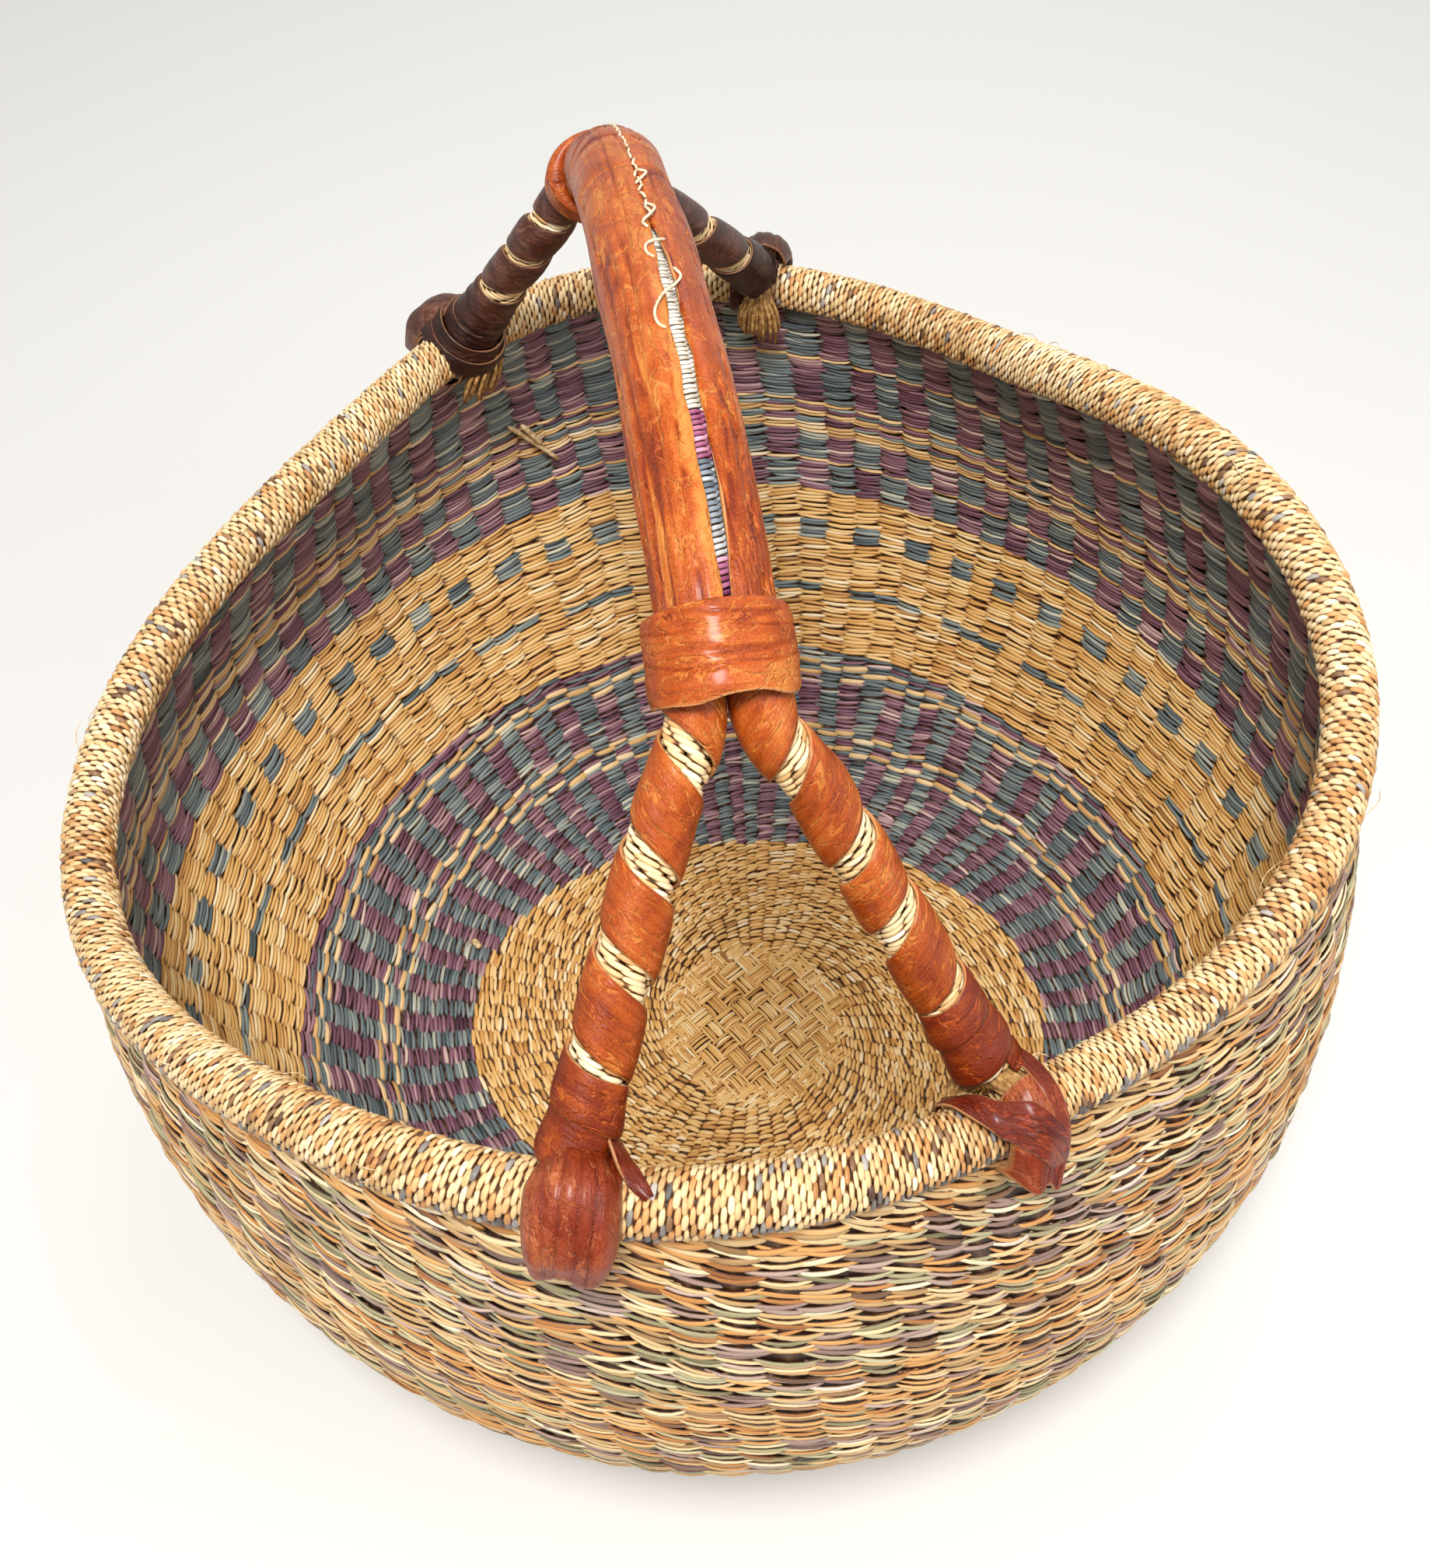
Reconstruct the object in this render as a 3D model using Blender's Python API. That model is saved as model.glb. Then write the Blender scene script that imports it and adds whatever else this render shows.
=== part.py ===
"""Round woven grass basket with an arched, leather-covered carrying handle.

The basket stands on the plane z = 0 and its floor is centred on the Z axis. The front, where the
handle's open seam points, is -Y. The woven bowl carries a thick bound rim. The handle is a bound
grass bundle in a leather sheath that forks under a leather collar at each end into two legs. Each
leg's bundle splits over the rim: one cut half hangs inside, the other lies outside under a leather
cap, and a narrow leather strap beside them is tied round the rim through a slot in the wall.
"""

import math

import bmesh
import bpy
from mathutils import Matrix, Vector

# Bowl
BASE_RADIUS = 0.152
BASE_RISE = 0.007
BASE_DOME_RADIUS = 0.112
BELLY_RADIUS = 0.2255
BELLY_HEIGHT = 0.137
MOUTH_RADIUS = 0.200
RIM_HEIGHT = 0.2515
WALL = 0.005
FLOOR_OFFSET_X = 0.027
FLOOR_OFFSET_Y = -0.004
CORNER_FULLNESS = 1.39

# The rim is hand-made and wavy: (lobes round the rim, size along the cosine, size along the sine)
RIM_SWELL = ((1, 0.0013, 0.0030), (2, -0.0027, 0.0065), (3, 0.0018, -0.0127), (4, 0.0142, -0.0005))
RIM_WAVE = ((1, 0.0159, -0.0028), (2, -0.0114, 0.0047), (3, 0.0115, 0.0232))

# Rim
RIM_RADIUS = 0.0088
RIM_CORE_RADIUS = 0.0058
STRAIGHT_WALL = 0.016

# Handle arch
HANDLE_TURN = math.radians(9.9)
HANDLE_SHIFT = -0.0091
HANDLE_RISE = 0.140
HANDLE_FULLNESS = 2.54
HANDLE_INSET = 0.004

# Grip
GRIP_FRONT_RADIUS = 0.0100
GRIP_REAR_RADIUS = 0.0078
GRIP_BINDING = 0.0018
SHEATH_SKIN = 0.0016
SLIT_CLOSED = 0.0008
SLIT_OPEN = 0.0080
SEAM_TURN = math.radians(-8)
THREAD_RADIUS = 0.0006
STITCH_SPACING = 0.0072
STITCH_REACH = 0.0028
SEAM_START_SHARE = 0.50
SEAM_END_SHARE = 0.93

# Collars
COLLAR_REACH = 0.1345
COLLAR_WIDTH = 0.020
COLLAR_SKIN = 0.0016
SHEATH_TUCK = 0.008

# Legs, thinner at the fork than at the foot
FORK_CORE_RADIUS = 0.0044
FOOT_CORE_RADIUS = 0.0059
LEG_BINDING = 0.0012
WRAP_SKIN = 0.0011
WRAP_WIDTH = 0.018
WRAP_TUCK = 0.006
FORK_LEAD = 0.028
BEND_EASE = 0.0007

# Where the legs meet the rim, counted round the rim from +X, the end of the handle they serve,
# the side of the leg that the strap is on, the pitch of the strip wound round the leg, and the
# width and the drop of the cap on the foot
FEET = {
    "front_left": (math.radians(262.5), "front", 1, 0.028, 0.023, 0.007),
    "front_right": (math.radians(298.0), "front", 1, 0.028, 0.015, 0.0125),
    "rear_left": (math.radians(120.0), "rear", 1, 0.028, 0.021, 0.010),
    "rear_right": (math.radians(83.5), "rear", 1, 0.036, 0.021, 0.010),
}

# The split end of each leg's bundle, over the rim
TAIL_RADIUS = 0.0046
TAIL_SPLAY = 0.0012
INNER_TAIL = 0.024
TAIL_TIP = 0.0015
TAIL_REST = 0.0125

# Foot straps and caps
STRAP_WIDTH = 0.0048
STRAP_SKIN = 0.0012
CAP_SKIN = 0.0014
CAP_CROWN = 0.0023
CAP_CLEARANCE = math.radians(38)
LEAF_TAPER_SHARE = 0.2
SLOT_EASE = 0.0006
CURVE_EASE = 0.0005

# Fits
GAP = 0.0003
SLOT_GAP = 0.0004
CUT_OVERRUN = 0.004

# How finely the round forms are divided
ROUND_STEPS = 48
SLIT_PLACES = 10
THIN_ROD_SIDES = 8
ROD_SIDES = 10
SLEEVE_SIDES = 16
WRAP_STEPS = 24
GRIP_STEPS = 16
ARC_STEPS = 8
ARCH_STEPS = 160

AXIS_Z = Vector((0.0, 0.0, 1.0))

# Distance between the middle of the wall and the floor that the basket stands on
FLOOR_MIDDLE = WALL / 2


def clear_scene():
    for old in list(bpy.data.objects):
        bpy.data.objects.remove(old, do_unlink=True)


def material(name, colour, roughness):
    """A plain Principled BSDF that holds the piece's colour and roughness."""
    made = bpy.data.materials.new(name)
    made.use_nodes = True
    shader = made.node_tree.nodes["Principled BSDF"]
    shader.inputs["Base Color"].default_value = (*colour, 1.0)
    shader.inputs["Roughness"].default_value = roughness
    shader.inputs["Metallic"].default_value = 0.0
    return made


def new_object(name, mesh_builder, finish):
    """Turn a filled bmesh into a named object with its faces pointing out."""
    mesh_builder.normal_update()
    bmesh.ops.recalc_face_normals(mesh_builder, faces=mesh_builder.faces[:])
    mesh = bpy.data.meshes.new(name)
    mesh_builder.to_mesh(mesh)
    mesh_builder.free()
    mesh.materials.append(finish)
    mesh.shade_smooth()
    mesh.set_sharp_from_angle(angle=math.radians(40))
    made = bpy.data.objects.new(name, mesh)
    bpy.context.scene.collection.objects.link(made)
    return made


def add_rings(builder, rings):
    return [[builder.verts.new(point) for point in ring] for ring in rings]


def skin(builder, rings, round_closed, along_closed):
    """Quads between neighbouring rings of vertices."""
    count = len(rings[0])
    ring_pairs = len(rings) if along_closed else len(rings) - 1
    point_pairs = count if round_closed else count - 1
    for i in range(ring_pairs):
        here = rings[i]
        ahead = rings[(i + 1) % len(rings)]
        for j in range(point_pairs):
            k = (j + 1) % count
            builder.faces.new((here[j], here[k], ahead[k], ahead[j]))


def rod(name, rings, finish, along_closed=False):
    """A solid swept through rings of points, capped at both ends unless it closes on itself."""
    builder = bmesh.new()
    made = add_rings(builder, rings)
    skin(builder, made, True, along_closed)
    if not along_closed:
        builder.faces.new(made[0])
        builder.faces.new(made[-1])
    return new_object(name, builder, finish)


def shell(name, outer, inner, finish, round_closed=True, along_closed=False):
    """A skin of real thickness between an outer and an inner set of rings."""
    builder = bmesh.new()
    outside = add_rings(builder, outer)
    inside = add_rings(builder, inner)
    skin(builder, outside, round_closed, along_closed)
    skin(builder, inside, round_closed, along_closed)
    if not along_closed:
        for end in (0, -1):
            skin(builder, [outside[end], inside[end]], round_closed, False)
    if not round_closed:
        for edge in (0, -1):
            walls = [[ring[edge] for ring in outside], [ring[edge] for ring in inside]]
            skin(builder, walls, along_closed, False)
    return new_object(name, builder, finish)


def circle(centre, side, up, radius, sides, start=0.0, sweep=math.tau):
    """Points round a centre; a full sweep leaves out the repeated last point."""
    steps = sides if abs(sweep - math.tau) < 1e-9 else sides - 1
    points = []
    for i in range(sides):
        angle = start + sweep * i / steps
        points.append(centre + side * (radius * math.cos(angle)) + up * (radius * math.sin(angle)))
    return points


# The bowl's shape


def waves(table, angle):
    return sum(c * math.cos(n * angle) + s * math.sin(n * angle) for n, c, s in table)


def rim_point(angle):
    """The rim's centre line."""
    radius = MOUTH_RADIUS + waves(RIM_SWELL, angle)
    return Vector((radius * math.cos(angle), radius * math.sin(angle), RIM_HEIGHT + waves(RIM_WAVE, angle)))


def wall_profile():
    """The middle of the wall as (radius, height) from the floor's edge up to the rim."""
    top = RIM_HEIGHT - STRAIGHT_WALL
    belly = BELLY_HEIGHT
    points = []
    corner_steps = 7
    for i in range(corner_steps + 1):
        turn = math.pi / 2 * i / corner_steps
        rise_share = 1 - math.cos(turn) ** (2 / CORNER_FULLNESS)
        reach_share = math.sin(turn) ** (2 / CORNER_FULLNESS)
        radius = BASE_RADIUS + (BELLY_RADIUS - BASE_RADIUS) * reach_share
        points.append((radius, FLOOR_MIDDLE + (belly - FLOOR_MIDDLE) * rise_share))
    upper_steps = 4
    for i in range(1, upper_steps + 1):
        height = belly + (top - belly) * i / upper_steps
        climb_share = (height - belly) / (RIM_HEIGHT - belly)
        points.append((BELLY_RADIUS - (BELLY_RADIUS - MOUTH_RADIUS) * climb_share ** 2, height))
    return points


def floor_profile(rise):
    """One face of the floor, which may rise in the centre, where the weave is started."""
    steps = 3
    points = []
    for i in range(1, steps):
        radius = BASE_DOME_RADIUS * i / steps
        dome_share = (1 - (radius / BASE_DOME_RADIUS) ** 2) ** 2
        points.append((radius, FLOOR_MIDDLE + rise * dome_share))
    points.append((BASE_DOME_RADIUS, FLOOR_MIDDLE))
    return points


def on_basket(angle, radius, height):
    """Carry a point of the round profile onto the leaning, wavy basket."""
    climb_share = max(0.0, height - WALL) / (RIM_HEIGHT - WALL)
    follow_share = climb_share ** 2
    lean_share = max(0.0, 1 - climb_share)
    reach = radius + follow_share * waves(RIM_SWELL, angle)
    return Vector((
        reach * math.cos(angle) + (lean_share - 1) * FLOOR_OFFSET_X,
        reach * math.sin(angle) + (lean_share - 1) * FLOOR_OFFSET_Y,
        height + follow_share * waves(RIM_WAVE, angle),
    ))


def rim_centre(angle):
    """The rim's centre in the basket's frame, whose Z axis passes through the floor's centre."""
    return rim_point(angle) - Vector((FLOOR_OFFSET_X, FLOOR_OFFSET_Y, 0.0))


def rim_frame(angle):
    """The rim's centre, the way out of the basket, the way down the wall and the way along the rim."""
    centre = rim_centre(angle)
    radius, height = wall_profile()[-1]
    down = (on_basket(angle, radius, height) - centre).normalized()
    radial = Vector((math.cos(angle), math.sin(angle), 0.0))
    out = (radial - down * radial.dot(down)).normalized()
    return centre, out, down, out.cross(down).normalized()


def foot_frame(angle):
    """The rim frame at a foot, squared up to the way that the wavy rim really runs there."""
    step = math.tau / ROUND_STEPS
    first = math.floor(angle / step) * step
    share = (angle - first) / step
    here, ahead = rim_frame(first), rim_frame(first + step)
    run = (ahead[0] - here[0]).normalized()
    down = here[2].lerp(ahead[2], share)
    down = (down - run * down.dot(run)).normalized()
    return here[0].lerp(ahead[0], share), down.cross(run).normalized(), down, run


def offset_profile(points, distance):
    """Shift a profile by a distance to its outer side."""
    shifted = []
    for i, (radius, height) in enumerate(points):
        before = points[max(i - 1, 0)]
        after = points[min(i + 1, len(points) - 1)]
        run = after[0] - before[0]
        rise = after[1] - before[1]
        length = math.hypot(run, rise)
        shifted.append((radius + distance * rise / length, height - distance * run / length))
    return shifted


def bowl_side(distance):
    """Rings of one side of the bowl, from the middle of the floor to just under the rim."""
    half = abs(distance)
    sign = 1 if distance > 0 else -1
    rise = 0.0 if distance > 0 else BASE_RISE
    floor = [(radius, height - sign * half) for radius, height in floor_profile(rise)]
    wall = offset_profile(wall_profile(), distance)
    wall[0] = (wall[0][0], FLOOR_MIDDLE - sign * half)
    angles = [math.tau * i / ROUND_STEPS for i in range(ROUND_STEPS)]
    rings = [[on_basket(angle, radius, height) for angle in angles] for radius, height in floor + wall[:-1]]
    for reach in (STRAIGHT_WALL, RIM_CORE_RADIUS + SLOT_GAP):
        ring = []
        for angle in angles:
            centre, out, down, along = rim_frame(angle)
            ring.append(centre + down * reach + out * distance)
        rings.append(ring)
    pole = Vector((0.0, 0.0, FLOOR_MIDDLE + rise - sign * half))
    return pole, rings


def woven_bowl(finish):
    outer_pole, outer = bowl_side(WALL / 2)
    inner_pole, inner = bowl_side(-WALL / 2)
    builder = bmesh.new()
    rings = add_rings(builder, outer + inner[::-1])
    skin(builder, rings, True, False)
    for pole, ring in ((outer_pole, rings[0]), (inner_pole, rings[-1])):
        centre = builder.verts.new(pole)
        for j in range(ROUND_STEPS):
            builder.faces.new((centre, ring[j], ring[(j + 1) % ROUND_STEPS]))
    return new_object("woven_bowl", builder, finish)


# The rim


def rim_core(finish):
    rings = []
    for i in range(ROUND_STEPS):
        centre, out, down, along = rim_frame(math.tau * i / ROUND_STEPS)
        rings.append(circle(centre, out, down, RIM_CORE_RADIUS, THIN_ROD_SIDES, math.tau / (2 * THIN_ROD_SIDES)))
    return rod("rim_core", rings, finish, along_closed=True)


def rim_lashing(finish):
    """The bound cord layer: a sleeve round the core, open below where the wall's edge enters it."""
    half_slot = WALL / 2 + SLOT_GAP
    bore = (RIM_CORE_RADIUS + GAP) / math.cos(math.pi / SLIT_PLACES)
    outer, inner = [], []
    for i in range(ROUND_STEPS):
        centre, out, down, along = rim_frame(math.tau * i / ROUND_STEPS)
        for rings, radius in ((outer, RIM_RADIUS), (inner, bore)):
            mouth = math.asin(half_slot / radius)
            ring = circle(centre, down, out, radius, SLIT_PLACES, mouth, math.tau - 2 * mouth)
            rings.append(ring)
    return shell("rim_lashing", outer, inner, finish, round_closed=False, along_closed=True)


# The handle's arch


def arch_ends():
    """The two places over the rim where the arch, drawn on, would come down."""
    along = Vector((-math.sin(HANDLE_TURN), math.cos(HANDLE_TURN), 0.0))
    shift = Vector((HANDLE_SHIFT - FLOOR_OFFSET_X, -FLOOR_OFFSET_Y, 0.0))
    ends = []
    for sign in (-1, 1):
        point = rim_point(sign * math.pi / 2 + HANDLE_TURN)
        reach = math.hypot(point.x, point.y) - HANDLE_INSET
        ends.append(shift + along * (sign * reach) + AXIS_Z * point.z)
    return ends


class Arch:
    """The grip's centre line, looked up by the length along it from its front end."""

    def __init__(self):
        front, rear = arch_ends()
        self.side = Vector((math.cos(HANDLE_TURN), math.sin(HANDLE_TURN), 0.0))
        self.points = []
        for i in range(ARCH_STEPS + 1):
            # closer points near the steep ends
            share = (1 - math.cos(math.pi * i / ARCH_STEPS)) / 2
            rise = HANDLE_RISE * (1 - abs(2 * share - 1) ** HANDLE_FULLNESS)
            self.points.append(front.lerp(rear, share) + AXIS_Z * rise)
        self.lengths = [0.0]
        for before, after in zip(self.points, self.points[1:]):
            self.lengths.append(self.lengths[-1] + (after - before).length)
        self.length = self.lengths[-1]

    def at(self, length):
        """The point, the way along, the way up out of the arch and the way to its right."""
        i = 1
        while i < ARCH_STEPS and self.lengths[i] < length:
            i += 1
        start, end = self.points[i - 1], self.points[i]
        share = (length - self.lengths[i - 1]) / (self.lengths[i] - self.lengths[i - 1])
        before = self.points[max(i - 2, 0)]
        after = self.points[min(i + 1, ARCH_STEPS)]
        ahead = ((end - before).normalized().lerp((after - start).normalized(), share)).normalized()
        return start.lerp(end, share), ahead, self.side.cross(ahead).normalized(), self.side

    def collar(self, end):
        return COLLAR_REACH if end == "front" else self.length - COLLAR_REACH


GRIP_BINDING_BUILD = GAP + GRIP_BINDING
SHEATH_BORE_BUILD = GRIP_BINDING_BUILD + GAP + CURVE_EASE
SHEATH_BUILD = SHEATH_BORE_BUILD + SHEATH_SKIN

# What the layers of a leg add to its core's radius
BINDING_BUILD = GAP + LEG_BINDING
WRAP_BUILD = BINDING_BUILD + GAP + BEND_EASE + WRAP_SKIN
FORK_RADIUS = FORK_CORE_RADIUS + WRAP_BUILD + GAP

# How far from the rim's centre the parts of a foot lie
SADDLE_REACH = RIM_RADIUS + GAP + CURVE_EASE + TAIL_RADIUS
STRAP_BORE = RIM_RADIUS + GAP + CURVE_EASE
STRAP_OFFSET = FOOT_CORE_RADIUS + GAP + CURVE_EASE + STRAP_WIDTH / 2


def grip_stations(arch, trim):
    """Evenly spaced stations between the collars' middles, with the end ones drawn in by a trim."""
    start = arch.collar("front")
    span = arch.length - 2 * start
    stations = []
    for i in range(GRIP_STEPS + 1):
        share = min(max(i / GRIP_STEPS, trim / span), 1 - trim / span)
        radius = GRIP_FRONT_RADIUS + (GRIP_REAR_RADIUS - GRIP_FRONT_RADIUS) * share
        p, ahead, up, side = arch.at(start + span * share)
        stations.append((p, up, side, radius, share))
    return stations


def grip_core(arch, finish):
    rings = [circle(p, side, up, radius, ROD_SIDES) for p, up, side, radius, share in grip_stations(arch, 0)]
    return rod("grip_core", rings, finish)


def grip_binding(arch, finish):
    stations = grip_stations(arch, GAP)
    ease = 1 / math.cos(math.pi / ROD_SIDES)
    outer = [circle(p, side, up, r + GRIP_BINDING_BUILD, ROD_SIDES) for p, up, side, r, share in stations]
    inner = [circle(p, side, up, r * ease + GAP, ROD_SIDES) for p, up, side, r, share in stations]
    return shell("grip_binding", outer, inner, finish)


def slit_width(share):
    """Width of the seam's slit at a share of the sheath's length, widest in the front half."""
    if share >= SEAM_START_SHARE:
        return SLIT_CLOSED
    bow = math.sin(math.pi * share / SEAM_START_SHARE) ** 0.7
    return SLIT_CLOSED + (SLIT_OPEN - SLIT_CLOSED) * bow


def grip_sheath(arch, finish):
    """The leather sheath, with the open slit of its seam along the top."""
    outer, inner = [], []
    for p, up, side, grip_radius, share in grip_stations(arch, COLLAR_WIDTH / 2 - SHEATH_TUCK):
        half = slit_width(share) / 2
        for rings, build_up in ((outer, SHEATH_BUILD), (inner, SHEATH_BORE_BUILD)):
            radius = grip_radius + build_up
            mouth = math.asin(half / radius)
            begin = math.pi / 2 + SEAM_TURN + mouth
            rings.append(circle(p, side, up, radius, SLEEVE_SIDES, begin, math.tau - 2 * mouth))
    return shell("grip_sheath", outer, inner, finish, round_closed=False)


def thread_points(arch):
    """The zigzag of the sewn part of the seam, across the slit and back."""
    start = arch.collar("front")
    span = arch.length - 2 * start
    crossings = int(span * (SEAM_END_SHARE - SEAM_START_SHARE) / STITCH_SPACING)
    points = []
    for i in range(crossings * 2 + 1):
        share = SEAM_START_SHARE + (SEAM_END_SHARE - SEAM_START_SHARE) * i / (crossings * 2)
        p, ahead, up, side = arch.at(start + span * share)
        grip_radius = GRIP_FRONT_RADIUS + (GRIP_REAR_RADIUS - GRIP_FRONT_RADIUS) * share
        radius = grip_radius + SHEATH_BUILD + GAP + THREAD_RADIUS
        reach = STITCH_REACH / radius
        angle = math.pi / 2 + SEAM_TURN + reach * (0, 1, 0, -1)[i % 4]
        lift = radius / math.cos(reach / 2)
        points.append(p + side * (lift * math.cos(angle)) + up * (lift * math.sin(angle)))
    return points


def seam_thread(arch, finish):
    curve = bpy.data.curves.new("grip_seam_thread", "CURVE")
    curve.dimensions = "3D"
    curve.bevel_depth = THREAD_RADIUS
    curve.bevel_resolution = 0
    curve.use_fill_caps = True
    points = thread_points(arch)
    spline = curve.splines.new("POLY")
    spline.points.add(len(points) - 1)
    for place, point in zip(spline.points, points):
        place.co = (*point, 1.0)
    curve.materials.append(finish)
    made = bpy.data.objects.new("grip_seam_thread", curve)
    bpy.context.scene.collection.objects.link(made)
    return made


def collar(arch, end, finish):
    """A leather band over the fork, a little wider than it is deep."""
    middle = arch.collar(end)
    half_side = 2 * FORK_RADIUS + GAP
    half_up = (GRIP_FRONT_RADIUS if end == "front" else GRIP_REAR_RADIUS) + SHEATH_BUILD + GAP * 2
    outer, inner = [], []
    for i in range(5):
        p, ahead, up, side = arch.at(middle + COLLAR_WIDTH * (i / 4 - 0.5))
        for rings, skin_depth in ((outer, COLLAR_SKIN), (inner, 0.0)):
            across = side * ((half_side + skin_depth) / half_up)
            rings.append(circle(p, across, up * ((half_up + skin_depth) / half_up), half_up, SLEEVE_SIDES + 4))
    return shell(end + "_collar", outer, inner, finish)


# The legs


def bezier(points, share):
    """A point on the Bezier curve of any number of control points."""
    work = list(points)
    while len(work) > 1:
        work = [a.lerp(b, share) for a, b in zip(work, work[1:])]
    return work[0]


class Leg:
    """One leg's centre line: out of the collar and straight down onto the rim."""

    def __init__(self, arch, name):
        angle, self.end, strap_side, self.pitch, self.cap_width, self.cap_drop = FEET[name]
        self.centre, self.out, self.down, self.along = foot_frame(angle)
        outward = -1 if self.end == "front" else 1
        middle = arch.collar(self.end)
        start, ahead, up, side = arch.at(middle + outward * GAP)
        mouth = arch.at(middle + outward * (COLLAR_WIDTH / 2))[0]
        ahead = ahead * outward
        hand = 1 if (self.centre - mouth).dot(side) > 0 else -1
        shift = side * (hand * FORK_RADIUS)
        fork = mouth + shift
        away = fork - self.centre
        # where the leg arrives, as a turn round the rim from straight out to straight up
        self.arrival = math.atan2(-away.dot(self.down), away.dot(self.out))
        radial = self.out * math.cos(self.arrival) - self.down * math.sin(self.arrival)
        landing = self.centre + radial * SADDLE_REACH
        run = (landing - fork).normalized()
        square = -run.dot(radial)
        tilt = math.sqrt(1 - square ** 2)
        layers = FOOT_CORE_RADIUS + WRAP_BUILD + GAP
        stop = (TAIL_RADIUS + GAP + layers * tilt) / square
        sink = (TAIL_RADIUS - FOOT_CORE_RADIUS * tilt) / square - GAP
        bend = [fork, fork + ahead * (FORK_LEAD / 3), fork + run * FORK_LEAD]
        self.hand = 1 if run.dot(self.along) > 0 else -1
        self.side = side
        self.points = [start + shift]
        self.points += [bezier(bend, i / 8) for i in range(9)]
        self.points.append(landing - run * stop)
        self.points.append(landing + run * sink)
        self.lengths = [0.0]
        for before, after in zip(self.points, self.points[1:]):
            self.lengths.append(self.lengths[-1] + (after - before).length)
        self.frames = self.carried_frames()

    def carried_frames(self):
        """Each point with two directions across the leg, carried along without twist."""
        across = self.side
        frames = []
        for i, point in enumerate(self.points):
            before = self.points[max(i - 1, 0)]
            after = self.points[min(i + 1, len(self.points) - 1)]
            ahead = (after - before).normalized()
            across = (across - ahead * across.dot(ahead)).normalized()
            share = self.lengths[i] / self.lengths[-1]
            radius = FORK_CORE_RADIUS + (FOOT_CORE_RADIUS - FORK_CORE_RADIUS) * share
            frames.append((point, across, ahead.cross(across).normalized(), radius))
        return frames

    def at(self, length):
        """The frame and the core's radius at a length along the leg."""
        i = 1
        while i < len(self.points) - 1 and self.lengths[i] < length:
            i += 1
        share = (length - self.lengths[i - 1]) / (self.lengths[i] - self.lengths[i - 1])
        start, end = self.frames[i - 1], self.frames[i]
        mixed = [start[k].lerp(end[k], share) for k in range(3)]
        return mixed[0], mixed[1], mixed[2], start[3] + (end[3] - start[3]) * share

    def section_point(self, x, y, along=0.0):
        """A point of the rim's cross-section at the foot: outward, upward and along the rim."""
        return self.centre + self.out * x - self.down * y + self.along * along


def tail_points(leg):
    """The split bundle's centre line: up from the cut end inside, over the rim and down outside."""
    points = [(-SADDLE_REACH, -INNER_TAIL), (-SADDLE_REACH, -INNER_TAIL / 2)]
    for i in range(ARC_STEPS + 1):
        turn = math.pi * (1 - i / ARC_STEPS)
        points.append((SADDLE_REACH * math.cos(turn), SADDLE_REACH * math.sin(turn)))
    for share in (1 / 3, 2 / 3, 1.0):
        points.append((outer_tail_x(share), -(leg.cap_drop + TAIL_TIP) * share))
    return points


def outer_tail_x(share):
    """How far out the outer half lies, easing from the rim's side in to the wall."""
    return TAIL_REST + (SADDLE_REACH - TAIL_REST) * (1 - share) ** 1.3


def leg_core(leg, name, finish):
    """The grass bundle, with its two halves joined on over the rim."""
    rings = [circle(p, a, b, radius, ROD_SIDES) for p, a, b, radius in leg.frames]
    core = rod("leg_core_" + name, rings, finish)
    rings = []
    path = tail_points(leg)
    for i, (x, y) in enumerate(path):
        before = path[max(i - 1, 0)]
        after = path[min(i + 1, len(path) - 1)]
        run = Vector((after[0] - before[0], after[1] - before[1])).normalized()
        way = leg.out * run.y + leg.down * run.x
        radius = TAIL_RADIUS + (TAIL_SPLAY if i == 0 else 0.0)
        rings.append(circle(leg.section_point(x, y), leg.along, way, radius, THIN_ROD_SIDES))
    halves = rod("leg_halves_" + name, rings, finish)
    halves.hide_render = True
    halves.display_type = "WIRE"
    join = core.modifiers.new("halves", "BOOLEAN")
    join.operation = "UNION"
    join.solver = "EXACT"
    join.object = halves
    return core


def leg_binding(leg, name, finish):
    """The bound cord layer of a leg, from inside the collar to just above the rim."""
    frames = leg.frames[:-1]
    ease = 1 / math.cos(math.pi / ROD_SIDES)
    outer = [circle(p, a, b, radius + BINDING_BUILD, ROD_SIDES) for p, a, b, radius in frames]
    inner = [circle(p, a, b, radius * ease + GAP, ROD_SIDES) for p, a, b, radius in frames]
    return shell("leg_binding_" + name, outer, inner, finish)


def leg_wrap(leg, name, finish):
    """A leather strip wound round the leg from inside the collar to the rim, as one strip."""
    first = leg.lengths[1] - WRAP_TUCK + WRAP_WIDTH / 2
    last = leg.lengths[-2] - WRAP_WIDTH / 2
    turns = (last - first) / leg.pitch
    steps = int(turns * WRAP_STEPS)
    ease = 1 / math.cos(math.pi / WRAP_STEPS)
    rings = []
    for i in range(steps + 1):
        share = i / steps
        angle = math.tau * turns * share * leg.hand + math.pi / 2
        travel = first + (last - first) * share
        near, far = [], []
        for across in (-1, 0, 1):
            p, a, b, radius = leg.at(travel + across * WRAP_WIDTH / 2)
            way = a * math.cos(angle) + b * math.sin(angle)
            bore = (radius + BINDING_BUILD + GAP + BEND_EASE) * ease
            near.append(p + way * bore)
            far.append(p + way * (bore + WRAP_SKIN))
        rings.append(near + far[::-1])
    least = self_gap(rings, WRAP_STEPS // 2)
    print("least gap between turns of leg_wrap_" + name, round(least * 1000, 2), "mm over", round(turns, 2), "turns")
    return rod("leg_wrap_" + name, rings, finish)


def self_gap(rings, apart):
    """The least distance between section corners at least half a turn apart."""
    least = math.inf
    for i, ring in enumerate(rings):
        for other in rings[i + apart:]:
            for point in ring:
                least = min(least, min((point - q).length for q in other))
    return least


# The feet


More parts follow.
